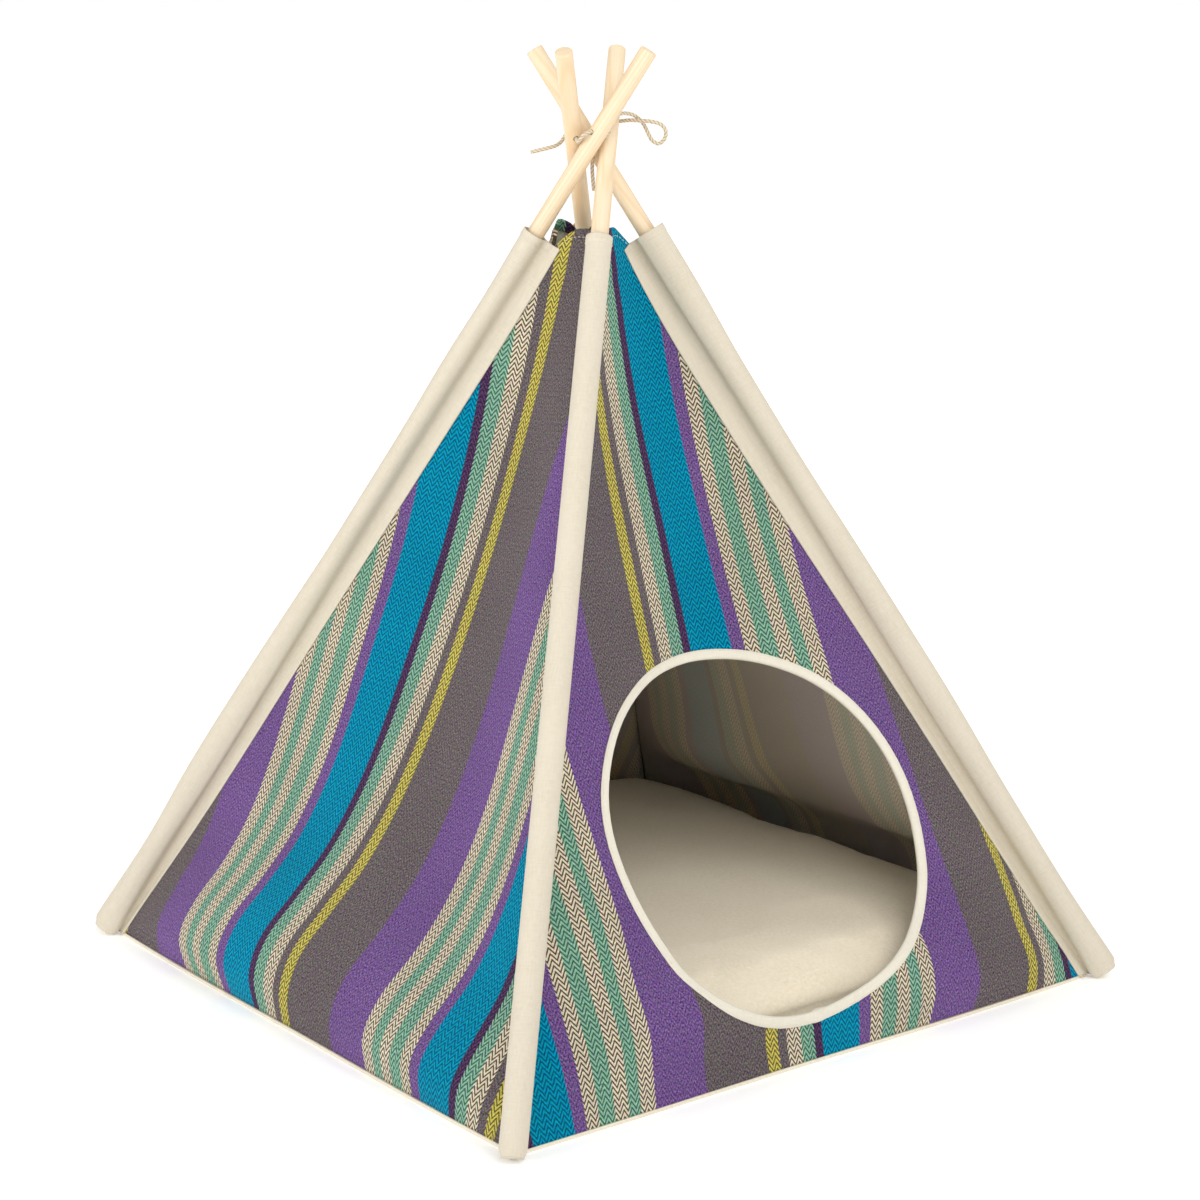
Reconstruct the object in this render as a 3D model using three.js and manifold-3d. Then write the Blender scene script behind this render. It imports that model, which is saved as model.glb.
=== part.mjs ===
// A cat tent: four round wooden poles crossed and tied near their tops, and a striped cloth
// skin that hangs on them in four canvas sleeves. One wall has a round bound doorway, and a
// filled cushion lies on the canvas floor inside.
//
// Units are millimetres and +Z is up. The origin is on the ground under the middle of the tent.
// The doorway looks along -Y. Every corner is the left one turned by quarter turns, and every
// wall is the doorway wall turned the same way.
import * as THREE from 'three';
import { mergeVertices } from 'three/addons/utils/BufferGeometryUtils.js';
import Module from 'manifold-3d';

const wasm = await Module();
wasm.setup();

// Poles
const POLE_DIAMETER = 12;
const POLE_LENGTH = 750;
const POLE_END_ROUND = 1.6;
const POLE_SIDES = 20;
const FOOT_HALF_SPAN = 255; // from the middle of the tent to a pole's foot, along X and along Y
const FOOT_HEIGHT = 8; // the lower end of a pole's centre line above the ground
const CROSSING_HEIGHT = 577.2; // where the centre lines pass nearest to the tent's axis
const CROSSING_OFFSET = 11.4; // how far they pass from it
const HOLE_DIAMETER = 3.8; // for the tie
const HOLE_FROM_TOP = 66;
const HOLE_SIDES = 12;

// Pole sleeves
const SLEEVE_TOP = 605; // from the pole's foot along the pole
const SLEEVE_RADIUS = 8.5;
const SLEEVE_BORE = 6.5;
const SLEEVE_OPENING_ANGLE = 135; // the round part ends this far each side of straight out
const SLEEVE_ARC_POINTS = 11;
const CHANNEL_STITCH = 8.8; // the stitch line that closes the channel, behind the centre line
const CHANNEL_HALF_WIDTH = 1.7;
const FLANGE_HALF_WIDTH = 1.2;
const FLANGE_PAST_SEAM = 1.5;

// Walls
const WALL_THICKNESS = 1.5;
const SEAM_OFFSET = 17.8; // level distance from a pole's centre line to the wall seam
const SEAM_DRAWN_IN = 5.8; // how much nearer the seam comes at the ground
const SEAM_DRAWN_FADE = 35; // height over which that fades
const SEAM_GAP = 3; // from the seam to the side edge of a wall
const WALL_BOTTOM = 2.9;
const WALL_TOP = 523;
const WALL_TOP_DIP = 13; // the top edge is this much lower at the seams than at its middle
const WALL_RISE = 0.44; // upward share of the direction in which a wall stands out
const WALL_COLUMNS = 14;
const WALL_ROW_HEIGHTS = [2.9, 6, 12, 20, 30, 42, 56, 74, 100, 140, 190, 255, 325, 400, 468, 523];

// How far the walls stand out from the flat between their seams. The cushion pushes them out
// low down and the cloth sags inwards above it.
// middle: in the middle, lean: more towards the left seam, edge: beside both seams
const DOOR_WALL_STAND_OUT = [
  { height: 0, middle: 0, lean: 0, edge: 0 },
  { height: 20, middle: 13, lean: -5.9, edge: 5.5 },
  { height: 45, middle: 22.4, lean: -2.3, edge: 5 },
  { height: 75, middle: 5.2, lean: -2.7, edge: 12.5 },
  { height: 110, middle: -2.6, lean: -0.1, edge: 14.5 },
  { height: 160, middle: -23.8, lean: -1.8, edge: 17.4 },
  { height: 230, middle: -21.9, lean: -3.6, edge: 7.3 },
  { height: 320, middle: -22.5, lean: -0.6, edge: 0.6 },
  { height: 420, middle: -17.4, lean: 0.2, edge: -0.5 },
  { height: 515, middle: 0, lean: 0, edge: 0 },
];
const LEFT_WALL_STAND_OUT = [
  { height: 0, middle: 0, lean: 0, edge: 0 },
  { height: 20, middle: 19.1, lean: 2.4, edge: 5.2 },
  { height: 45, middle: 19.3, lean: 3.8, edge: 3.4 },
  { height: 75, middle: 4.2, lean: 4.1, edge: 0.2 },
  { height: 110, middle: -10.6, lean: 3.1, edge: -0.2 },
  { height: 160, middle: -19.9, lean: 2, edge: 0.9 },
  { height: 230, middle: -22.2, lean: -0.2, edge: 3 },
  { height: 320, middle: -19.7, lean: -4, edge: 2.5 },
  { height: 420, middle: -12, lean: -3.5, edge: 0.7 },
  { height: 515, middle: 0, lean: 0, edge: 0 },
];
const PLAIN_WALL_STAND_OUT = [
  { height: 0, middle: 0, lean: 0, edge: 0 },
  { height: 20, middle: 17, lean: 1, edge: 5 },
  { height: 45, middle: 19, lean: 1, edge: 4 },
  { height: 75, middle: 6, lean: 1, edge: 3 },
  { height: 110, middle: -7, lean: 1, edge: 2 },
  { height: 160, middle: -18, lean: 0, edge: 2 },
  { height: 230, middle: -21, lean: 0, edge: 3 },
  { height: 320, middle: -20, lean: -1, edge: 2 },
  { height: 420, middle: -13, lean: -1, edge: 1 },
  { height: 515, middle: 0, lean: 0, edge: 0 },
];
const BACK_WALL_STAND_OUT = [
  ...PLAIN_WALL_STAND_OUT.filter(({ height }) => height < 420),
  { height: 420, middle: -10, lean: -1, edge: 1 },
  { height: 515, middle: 9, lean: -5, edge: 1 },
];

// Doorway: a circle in the flat cloth, bound with a folded strip
const WALL_SLANT = 1.0925; // cloth length up the wall for each millimetre of height
const DOOR_CUT_RADIUS = 123.8;
const DOOR_CENTRE_UP = 150; // from the ground, measured up the cloth
const DOOR_RAYS = 60;
const DOOR_RIM_STEPS = [0, 4.8, 9]; // rings beside the cut edge, measured from it
const DOOR_WALL_RINGS = [0.08, 0.2, 0.36, 0.56, 0.78, 1]; // shares of the way out to the wall's edge
const BINDING_THICKNESS = 0.9;
const BINDING_WIDTH = 4.8; // how far it lies on the cloth
const BINDING_PAST_CUT = 1.8;

// Floor cloth and cushion
const GAP = 0.3; // between pieces that touch
const FLOOR_CLOTH_THICKNESS = 2.2;
const FLOOR_SIDE_POINTS = 15;
const FLOOR_EDGE_OUT = 0.6; // how far it shows past the walls' lower edges
const CUSHION_HALF_WIDTH = 240;
const CUSHION_SQUARENESS = 6;
const CUSHION_POINTS = 48;
const CUSHION_SECTION = [
  { share: 0.86, height: 2.5 },
  { share: 0.93, height: 5 },
  { share: 0.98, height: 12 },
  { share: 1, height: 26 },
  { share: 0.99, height: 34 },
  { share: 0.965, height: 41 },
  { share: 0.92, height: 46 },
  { share: 0.84, height: 50.5 },
  { share: 0.7, height: 54.5 },
  { share: 0.5, height: 57.3 },
  { share: 0.25, height: 58.7 },
];
const CUSHION_CROWN = 59.2;

// Tie: a thin cord through the holes of two poles and round a third, with two free ends
const TIE_DIAMETER = 2.4;
const TIE_SIDES = 8;
const TIE_STEPS = 80;
const TIE_ROUTE = [
  [-32, 26, 573.4], [-28, 23, 574.5], [-22.2, 19.8, 576], [-16.6, 18.6, 577.4], [-12, 18.6, 579.6],
  [-9.6, 16.8, 584], [-9.9, 13, 588], [-10.6, 9.9, 588.8], [-12, 4.4, 585.7], [-13.4, -1.2, 582.6],
  [-15.2, -5.6, 581.2], [-17, -9.8, 582.8], [-15.6, -12.8, 586.2], [-10.4, -13.1, 587.8],
  [-4.4, -12, 585.7], [1.7, -10.9, 583.6], [5.4, -11, 585.6], [7, -11.4, 589.4],
  [8.8, -10.8, 593.6], [12.6, -9.8, 597], [18, -9.4, 598.8], [24, -9.2, 598.8], [30, -10, 597],
  [35, -11.8, 592.4], [37.8, -13.8, 586], [40, -16, 580.6], [43.4, -19, 578.4],
  [46.2, -22, 582], [45.4, -23.6, 587.6], [41.8, -22.8, 591.6], [36.4, -19.8, 593.4],
  [31, -14.4, 594], [27, -5.6, 594], [22.6, 4.4, 592], [15.6, 7.2, 587.4], [8.6, 1.8, 582],
  [2.6, 0.2, 574], [0.4, -0.6, 564], [1, -1.4, 547.4],
];

const COLOURS = {
  stripedCloth: 0x6b6470, canvas: 0xece3cf, cushionCanvas: 0xe8dcc0, wood: 0xf0d7a8, cord: 0xcdb898,
};

// Each corner's side, its quarter turn from the left corner, and where its tie hole faces,
// in degrees round the pole from straight out
const CORNERS = [
  { side: 'left', quarterTurn: 0, holeFacing: 50 },
  { side: 'front', quarterTurn: 1, holeFacing: -12 },
  { side: 'right', quarterTurn: 2, holeFacing: 50 },
  { side: 'back', quarterTurn: 3, holeFacing: 26 },
];

const WALLS = [
  { name: 'panel_right', quarterTurn: 1, standOut: PLAIN_WALL_STAND_OUT },
  { name: 'panel_back', quarterTurn: 2, standOut: BACK_WALL_STAND_OUT },
  { name: 'panel_left', quarterTurn: 3, standOut: LEFT_WALL_STAND_OUT },
];

const radians = THREE.MathUtils.degToRad;
const material = (colour, roughness) =>
  new THREE.MeshStandardMaterial({ color: colour, roughness, metalness: 0 });

// The left pole's centre line. It starts at the foot and passes beside the tent's axis.
const FOOT = new THREE.Vector3(-FOOT_HALF_SPAN, FOOT_HALF_SPAN, FOOT_HEIGHT);
const CROSSING = new THREE.Vector3(
  -CROSSING_OFFSET * Math.SQRT1_2, -CROSSING_OFFSET * Math.SQRT1_2, CROSSING_HEIGHT);
const UP_POLE = CROSSING.clone().sub(FOOT).normalize();
const CORNER_OUT = new THREE.Vector3(-Math.SQRT1_2, Math.SQRT1_2, 0);
const POLE_OUT = CORNER_OUT.clone().addScaledVector(UP_POLE, -CORNER_OUT.dot(UP_POLE)).normalize();
const POLE_SIDE = UP_POLE.clone().cross(POLE_OUT);
const OUT_ALONG_POLE = CORNER_OUT.dot(UP_POLE);

const turned = (point, quarterTurns) =>
  point.applyAxisAngle(new THREE.Vector3(0, 0, 1), quarterTurns * Math.PI / 2);

// Level distance from a pole's centre line to its wall seam at a height
function seamOffset(height) {
  return SEAM_OFFSET - SEAM_DRAWN_IN * Math.exp(-height / SEAM_DRAWN_FADE);
}

// A point of a corner's wall seam
function seamPoint(quarterTurns, height) {
  const point = FOOT.clone().addScaledVector(UP_POLE, (height - FOOT_HEIGHT) / UP_POLE.z);
  point.addScaledVector(CORNER_OUT, -seamOffset(height));
  return turned(point, quarterTurns);
}

// Smooth curve through one column of a stand-out table
function columnAt(table, column, height) {
  const last = table.length - 1;
  const low = Math.min(height, table[last].height);
  let row = 0;
  while (row < last - 1 && low > table[row + 1].height) row += 1;
  const slopeAt = (index) => {
    const before = table[Math.max(index - 1, 0)];
    const after = table[Math.min(index + 1, last)];
    return (after[column] - before[column]) / (after.height - before.height);
  };
  const span = table[row + 1].height - table[row].height;
  const share = (low - table[row].height) / span;
  const rest = 1 - share;
  return table[row][column] * rest * rest * (1 + 2 * share)
    + table[row + 1][column] * share * share * (3 - 2 * share)
    + slopeAt(row) * span * share * rest * rest
    - slopeAt(row + 1) * span * share * share * rest;
}

// A wall that looks along -Y, between the front corner on its left and the right corner
const LEFT_CORNER_TURN = 1;
const RIGHT_CORNER_TURN = 2;
const STAND_OUT_DIRECTION = new THREE.Vector3(0, -1, WALL_RISE).normalize();

function wallWidth(height) {
  return seamPoint(LEFT_CORNER_TURN, height).distanceTo(seamPoint(RIGHT_CORNER_TURN, height));
}

// A point in the middle of the cloth. across runs from 0 at the left seam to 1 at the right one.
function wallPoint(standOut, across, height) {
  const point = seamPoint(LEFT_CORNER_TURN, height);
  point.lerp(seamPoint(RIGHT_CORNER_TURN, height), across);
  const reach = columnAt(standOut, 'middle', height) * Math.sin(Math.PI * across)
    + columnAt(standOut, 'lean', height) * Math.sin(2 * Math.PI * across)
    + columnAt(standOut, 'edge', height) * Math.sin(3 * Math.PI * across);
  return point.addScaledVector(STAND_OUT_DIRECTION, reach);
}

// The same point moved off the middle of the cloth, outwards where offset is above 0
function wallPointOff(standOut, across, height, offset) {
  const step = 0.004;
  const rise = 1.5;
  const alongLevel = wallPoint(standOut, across + step, height)
    .sub(wallPoint(standOut, across - step, height));
  const alongUp = wallPoint(standOut, across, height + rise)
    .sub(wallPoint(standOut, across, Math.max(height - rise, 0)));
  const out = alongLevel.cross(alongUp).normalize();
  return wallPoint(standOut, across, height).addScaledVector(out, offset);
}

function wallTop(across) {
  return WALL_TOP - WALL_TOP_DIP * Math.abs(2 * across - 1) ** 3;
}

// A mesh geometry from points and triangles of point numbers, turned so that its faces point out
function closedGeometry(points, triangles) {
  let volume = 0;
  for (const [a, b, c] of triangles) {
    volume += points[a].dot(points[b].clone().cross(points[c]));
  }
  const outward = volume > 0 ? triangles : triangles.map(([a, b, c]) => [a, c, b]);
  const geometry = new THREE.BufferGeometry();
  geometry.setAttribute('position', new THREE.Float32BufferAttribute(points.flatMap((p) => p.toArray()), 3));
  geometry.setIndex(outward.flat());
  geometry.computeVertexNormals();
  return geometry;
}

// Triangles between two rows of point numbers, which close into rings where closed is true
function strip(first, second, closed) {
  const triangles = [];
  const steps = closed ? first.length : first.length - 1;
  for (let i = 0; i < steps; i += 1) {
    const next = (i + 1) % first.length;
    triangles.push([first[i], first[next], second[next]], [first[i], second[next], second[i]]);
  }
  return triangles;
}

// A cloth sheet from rows of middle points, given as a function of row, column and offset.
// Where ring is true each row closes on itself, round a hole.
function sheetGeometry(rows, columns, pointAt, ring) {
  const points = [];
  const numbers = [WALL_THICKNESS / 2, -WALL_THICKNESS / 2].map((offset) =>
    Array.from({ length: rows }, (_, row) =>
      Array.from({ length: columns }, (__, column) =>
        points.push(pointAt(row, column, offset)) - 1)));
  const [outer, inner] = numbers;
  const triangles = [];
  for (let row = 0; row < rows - 1; row += 1) {
    triangles.push(...strip(outer[row], outer[row + 1], ring));
    triangles.push(...strip(inner[row + 1], inner[row], ring));
  }
  triangles.push(...strip(inner[0], outer[0], ring));
  triangles.push(...strip(outer[rows - 1], inner[rows - 1], ring));
  if (!ring) {
    const firstColumn = (side) => side.map((row) => row[0]);
    const lastColumn = (side) => side.map((row) => row[columns - 1]);
    triangles.push(...strip(firstColumn(outer), firstColumn(inner), false));
    triangles.push(...strip(lastColumn(inner), lastColumn(outer), false));
  }
  return closedGeometry(points, triangles);
}

// A body skinned over rings of equal length. Its two ends are capped, or joined where loop is true.
function loftGeometry(rings, loop) {
  const points = rings.flat();
  const size = rings[0].length;
  const numbers = rings.map((_, index) => Array.from({ length: size }, (__, i) => index * size + i));
  const triangles = [];
  for (let index = 0; index < rings.length - 1; index += 1) {
    triangles.push(...strip(numbers[index], numbers[index + 1], true));
  }
  if (loop) {
    triangles.push(...strip(numbers[rings.length - 1], numbers[0], true));
    return closedGeometry(points, triangles);
  }
  const capTriangles = (ring) => THREE.ShapeUtils.triangulateShape(
    ring.map((p) => new THREE.Vector2(p.x, p.y)), []);
  const end = numbers[rings.length - 1];
  const start = numbers[0];
  for (const [a, b, c] of capTriangles(rings[0])) triangles.push([start[c], start[b], start[a]]);
  for (const [a, b, c] of capTriangles(rings[rings.length - 1])) triangles.push([end[a], end[b], end[c]]);
  return closedGeometry(points, triangles);
}

// Boolean solids
function toSolid(geometry) {
  const bare = new THREE.BufferGeometry();
  bare.setAttribute('position', geometry.getAttribute('position'));
  bare.setIndex(geometry.getIndex());
  const welded = mergeVertices(bare, 1e-4);
  return new wasm.Manifold(new wasm.Mesh({
    numProp: 3,
    vertProperties: welded.getAttribute('position').array,
    triVerts: Uint32Array.from(welded.getIndex().array),
  }));
}

function toGeometry(solid) {
  const { vertProperties, triVerts } = solid.getMesh();
  const geometry = new THREE.BufferGeometry();
  geometry.setAttribute('position', new THREE.Float32BufferAttribute(vertProperties, 3));
  geometry.setIndex(Array.from(triVerts));
  geometry.computeVertexNormals();
  return geometry;
}

// A dowel along Z from its foot, with eased ends and the tie hole drilled across
function poleGeometry(holeFacing) {
  const radius = POLE_DIAMETER / 2;
  const easedRadius = radius - POLE_END_ROUND;
  const halfway = POLE_END_ROUND * (1 - Math.SQRT1_2);
  const profile = [
    [0, 0], [easedRadius, 0], [radius - halfway, halfway], [radius, POLE_END_ROUND],
    [radius, POLE_LENGTH - POLE_END_ROUND], [radius - halfway, POLE_LENGTH - halfway],
    [easedRadius, POLE_LENGTH], [0, POLE_LENGTH],
  ].map(([x, y]) => new THREE.Vector2(x, y));
  const dowel = new THREE.LatheGeometry(profile, POLE_SIDES).rotateX(Math.PI / 2);
  const drill = new THREE.CylinderGeometry(
    HOLE_DIAMETER / 2, HOLE_DIAMETER / 2, POLE_DIAMETER * 2, HOLE_SIDES);
  drill.rotateZ(Math.PI / 2).rotateZ(radians(holeFacing)).translate(0, 0, POLE_LENGTH - HOLE_FROM_TOP);
  return toGeometry(toSolid(dowel).subtract(toSolid(drill)));
}

// One section of a sleeve across its pole: a round channel open towards the wall, then the two
// layers that run to the wall seam. +X is straight out.
function sleeveRing({ along, radius, stitch, reach, channelHalf, endHalf }) {
  const widest = radians(SLEEVE_OPENING_ANGLE);
  const ring = Array.from({ length: SLEEVE_ARC_POINTS }, (_, i) => {
    const angle = -widest + 2 * widest * i / (SLEEVE_ARC_POINTS - 1);
    return new THREE.Vector3(radius * Math.cos(angle), radius * Math.sin(angle), along);
  });
  const inward = [
    [-stitch, channelHalf], [-reach, endHalf], [-reach, -endHalf], [-stitch, -channelHalf],
  ];
  return [...ring, ...inward.map(([x, y]) => new THREE.Vector3(x, y, along))];
}

// How far the two layers run behind the pole's centre line, at a distance up the pole
function flangeReach(along) {
  const atPole = FOOT_HEIGHT + UP_POLE.z * along;
  const seamHeight = atPole + OUT_ALONG_POLE * UP_POLE.z * SEAM_OFFSET;
  return seamOffset(Math.max(seamHeight, 0)) * UP_POLE.z + FLANGE_PAST_SEAM;
}

function sleeveGeometry() {
  const outside = (row) => sleeveRing({
    channelHalf: CHANNEL_HALF_WIDTH, endHalf: FLANGE_HALF_WIDTH, ...row });
  const inside = (along) => sleeveRing({
    along, radius: SLEEVE_BORE, stitch: 7.2, reach: 8, channelHalf: 1, endHalf: 0.25 });
  const footRows = [
    { along: -5.1, radius: 6.4, stitch: 5.9, reach: 6.6 },
    { along: -3, radius: 8.2, stitch: 8.2, reach: 9.4 },
  ];
  const upperRows = [0, 12, 30, 60, 110, SLEEVE_TOP].map((along) => (
    { along, radius: SLEEVE_RADIUS, stitch: CHANNEL_STITCH, reach: flangeReach(along) }));
  const rings = [
    ...footRows.map(outside), ...upperRows.map(outside), inside(SLEEVE_TOP), inside(-GAP),
  ];
  return loftGeometry(rings, false);
}

// A pole in its sleeve, at one corner
function cornerGroup({ side, quarterTurn, holeFacing }) {
  const pole = new THREE.Mesh(poleGeometry(holeFacing), material(COLOURS.wood, 0.55));
  pole.name = `pole_${side}`;
  const sleeve = new THREE.Mesh(sleeveGeometry(), material(COLOURS.canvas, 0.9));
  sleeve.name = `sleeve_${side}`;
  const alongPole = new THREE.Group();
  alongPole.position.copy(FOOT);
  alongPole.quaternion.setFromRotationMatrix(
    new THREE.Matrix4().makeBasis(POLE_OUT, POLE_SIDE, UP_POLE));
  alongPole.add(pole, sleeve);
  const corner = new THREE.Group();
  corner.rotation.z = quarterTurn * Math.PI / 2;
  corner.add(alongPole);
  return corner;
}

// A wall without a doorway
function plainWall({ name, quarterTurn, standOut }) {
  const pointAt = (row, column, offset) => {
    const share = column / (WALL_COLUMNS - 1);
    const rowShare = (WALL_ROW_HEIGHTS[row] - WALL_BOTTOM) / (WALL_TOP - WALL_BOTTOM);
    const height = WALL_BOTTOM + rowShare * (wallTop(share) - WALL_BOTTOM);
    const margin = SEAM_GAP / wallWidth(height);
    return wallPointOff(standOut, margin + share * (1 - 2 * margin), height, offset);
  };
  const geometry = sheetGeometry(WALL_ROW_HEIGHTS.length, WALL_COLUMNS, pointAt, false);
  const wall = new THREE.Mesh(geometry, material(COLOURS.stripedCloth, 0.95));
  wall.name = name;
  const turn = new THREE.Group();
  turn.rotation.z = quarterTurn * Math.PI / 2;
  turn.add(wall);
  return turn;
}

// Doorway wall, measured on the flat cloth: x from the middle line, y up from the ground
function doorCloth(x, y, offset) {
  const height = y / WALL_SLANT;
  return wallPointOff(DOOR_WALL_STAND_OUT, 0.5 + x / wallWidth(height), height, offset);
}

// Whether a place on the flat cloth lies inside the doorway wall's outline
function insideDoorWall(x, y) {
  const height = y / WALL_SLANT;
  const halfWidth = wallWidth(Math.min(height, WALL_TOP)) / 2 - SEAM_GAP;
  const across = 0.5 + x / (2 * (halfWidth + SEAM_GAP));
  return height >= WALL_BOTTOM && Math.abs(x) <= halfWidth && height <= wallTop(across);
}

// Distance from the doorway's middle to the wall's outline in one direction
function outlineDistance(angle) {
  let near = DOOR_CUT_RADIUS;
  let far = WALL_TOP * WALL_SLANT;
  for (let i = 0; i < 40; i += 1) {
    const middle = (near + far) / 2;
    const x = middle * Math.cos(angle);
    const y = DOOR_CENTRE_UP + middle * Math.sin(angle);
    if (insideDoorWall(x, y)) near = middle;
    else far = middle;
  }
  return near;
}

// Directions from the doorway's middle: evenly round it, and to the wall's corners and top edge
function doorAngles() {
  const corner = (height, side) => Math.atan2(
    height * WALL_SLANT - DOOR_CENTRE_UP, side * (wallWidth(height) / 2 - SEAM_GAP));
  const cornerHeight = WALL_TOP - WALL_TOP_DIP;
  const corners = [1, -1].flatMap((side) => [corner(WALL_BOTTOM, side), corner(cornerHeight, side)]);
  const even = Array.from({ length: DOOR_RAYS }, (_, i) => -Math.PI + (i + 0.5) * 2 * Math.PI / DOOR_RAYS);
  const clearOfCorners = even.filter((angle) => corners.every((other) => Math.abs(angle - other) > 0.02));
  const topEdge = [0.35, 0.65].map((share) =>
    THREE.MathUtils.lerp(corner(cornerHeight, 1), corner(cornerHeight, -1), share));
  return [...clearOfCorners, ...corners, ...topEdge].sort((a, b) => a - b);
}

function doorWall(angles) {
  const reaches = angles.map(outlineDistance);
  const nearEdge = DOOR_CUT_RADIUS + DOOR_RIM_STEPS[DOOR_RIM_STEPS.length - 1];
  const rings = [
    ...DOOR_RIM_STEPS.map((step) => () => DOOR_CUT_RADIUS + step),
    ...DOOR_WALL_RINGS.map((share) => (reach) => THREE.MathUtils.lerp(nearEdge, reach, share)),
  ];
  const pointAt = (row, column, offset) => {
    const radius = rings[row](reaches[column]);
    const angle = angles[column];
    return doorCloth(radius * Math.cos(angle), DOOR_CENTRE_UP + radius * Math.sin(angle), offset);
  };
  const geometry = sheetGeometry(rings.length, angles.length, pointAt, true);
  const wall = new THREE.Mesh(geometry, material(COLOURS.stripedCloth, 0.95));
  wall.name = 'panel_door';
  return wall;
}

// The strip folded over the doorway's cut edge
function doorBinding(angles) {
  const slotHalf = WALL_THICKNESS / 2 + GAP;
  const outerHalf = slotHalf + BINDING_THICKNESS;
  const outerRadius = DOOR_CUT_RADIUS + BINDING_WIDTH;
  const foldRadius = DOOR_CUT_RADIUS - BINDING_PAST_CUT;
  const slotEnd = DOOR_CUT_RADIUS - GAP;
  const section = [
    [outerRadius, slotHalf], [outerRadius, outerHalf], [foldRadius, outerHalf],
    [foldRadius, -outerHalf], [outerRadius, -outerHalf], [outerRadius, -slotHalf],
    [slotEnd, -slotHalf], [slotEnd, slotHalf],
  ];
  const rings = angles.map((angle) => section.map(([radius, offset]) =>
    doorCloth(radius * Math.cos(angle), DOOR_CENTRE_UP + radius * Math.sin(angle), offset)));
  const binding = new THREE.Mesh(loftGeometry(rings, true), material(COLOURS.canvas, 0.9));
  binding.name = 'door_binding';
  return binding;
}

// A flat square of canvas under the walls' lower edges
function floorCloth() {
  const sides = [{ quarterTurn: 0, standOut: DOOR_WALL_STAND_OUT }, ...WALLS];
  const margin = SEAM_GAP / wallWidth(WALL_BOTTOM);
  const outline = sides.flatMap(({ quarterTurn, standOut }) =>
    Array.from({ length: FLOOR_SIDE_POINTS }, (_, i) => {
      const across = margin + (1 - 2 * margin) * i / (FLOOR_SIDE_POINTS - 1);
      const point = wallPoint(standOut, across, WALL_BOTTOM);
      point.y -= FLOOR_EDGE_OUT;
      turned(point, quarterTurn);
      return new THREE.Vector2(point.x, point.y);
    }));
  const geometry = new THREE.ExtrudeGeometry(
    new THREE.Shape(outline), { depth: FLOOR_CLOTH_THICKNESS, bevelEnabled: false });
  const floor = new THREE.Mesh(geometry, material(COLOURS.canvas, 0.9));
  floor.name = 'floor_cloth';
  return floor;
}

// A filled square cushion, flat below and crowned above
function cushion() {
  const outline = Array.from({ length: CUSHION_POINTS }, (_, i) => {
    const angle = 2 * Math.PI * i / CUSHION_POINTS;
    const x = Math.cos(angle);
    const y = Math.sin(angle);
    const size = (Math.abs(x) ** CUSHION_SQUARENESS + Math.abs(y) ** CUSHION_SQUARENESS)
      ** (-1 / CUSHION_SQUARENESS);
    return new THREE.Vector2(x, y).multiplyScalar(size * CUSHION_HALF_WIDTH);
  });
  const points = CUSHION_SECTION.flatMap(({ share, height }) =>
    outline.map(({ x, y }) => new THREE.Vector3(x * share, y * share, height)));
  const ring = (row) => outline.map((_, i) => row * CUSHION_POINTS + i);
  const top = points.push(new THREE.Vector3(0, 0, CUSHION_CROWN)) - 1;
  const bottom = points.push(new THREE.Vector3(0, 0, CUSHION_SECTION[0].height)) - 1;
  const triangles = [];
  for (let row = 0; row < CUSHION_SECTION.length - 1; row += 1) {
    triangles.push(...strip(ring(row), ring(row + 1), true));
  }
  const highest = ring(CUSHION_SECTION.length - 1);
  const lowest = ring(0);
  outline.forEach((_, i) => {
    const next = (i + 1) % CUSHION_POINTS;
    triangles.push([highest[i], highest[next], top], [lowest[next], lowest[i], bottom]);
  });
  const mesh = new THREE.Mesh(closedGeometry(points, triangles), material(COLOURS.cushionCanvas, 0.95));
  mesh.name = 'cushion';
  return mesh;
}

function tieCord() {
  const route = new THREE.CatmullRomCurve3(TIE_ROUTE.map((p) => new THREE.Vector3(...p)));
  const round = new THREE.Shape(Array.from({ length: TIE_SIDES }, (_, i) => {
    const angle = 2 * Math.PI * i / TIE_SIDES;
    return new THREE.Vector2(Math.cos(angle), Math.sin(angle)).multiplyScalar(TIE_DIAMETER / 2);
  }));
  const geometry = new THREE.ExtrudeGeometry(round, { steps: TIE_STEPS, extrudePath: route });
  const tie = new THREE.Mesh(geometry, material(COLOURS.cord, 0.9));
  tie.name = 'tie_cord';
  return tie;
}

const tent = new THREE.Group();
const angles = doorAngles();
tent.add(...CORNERS.map(cornerGroup));
tent.add(...WALLS.map(plainWall));
tent.add(doorWall(angles), doorBinding(angles), floorCloth(), cushion(), tieCord());

export default tent;
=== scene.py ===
# %% [markdown]
# # A striped cat tent on four crossed poles
#
# Four round poles cross near their tops, and a tie holds them there. A skin of striped
# herringbone cloth hangs on them in four canvas sleeves. One wall has a round doorway with a
# folded binding, and a filled cushion lies inside on a canvas floor.
#
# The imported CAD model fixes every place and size. Here each soft part gets a finer shape in
# the same place, and every surface gets the finish of its real material. Everything is in
# metres, with +Z up and the doorway looking along -Y.

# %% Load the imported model
import math

import bmesh
import bpy
import numpy as np
from mathutils import Matrix, Vector


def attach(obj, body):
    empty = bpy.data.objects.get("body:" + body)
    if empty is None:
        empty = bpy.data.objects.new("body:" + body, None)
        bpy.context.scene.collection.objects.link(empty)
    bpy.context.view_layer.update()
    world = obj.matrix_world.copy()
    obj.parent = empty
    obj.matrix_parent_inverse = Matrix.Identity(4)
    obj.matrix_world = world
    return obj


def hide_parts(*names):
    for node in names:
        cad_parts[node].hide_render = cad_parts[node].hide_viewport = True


MM = 0.001

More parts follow.
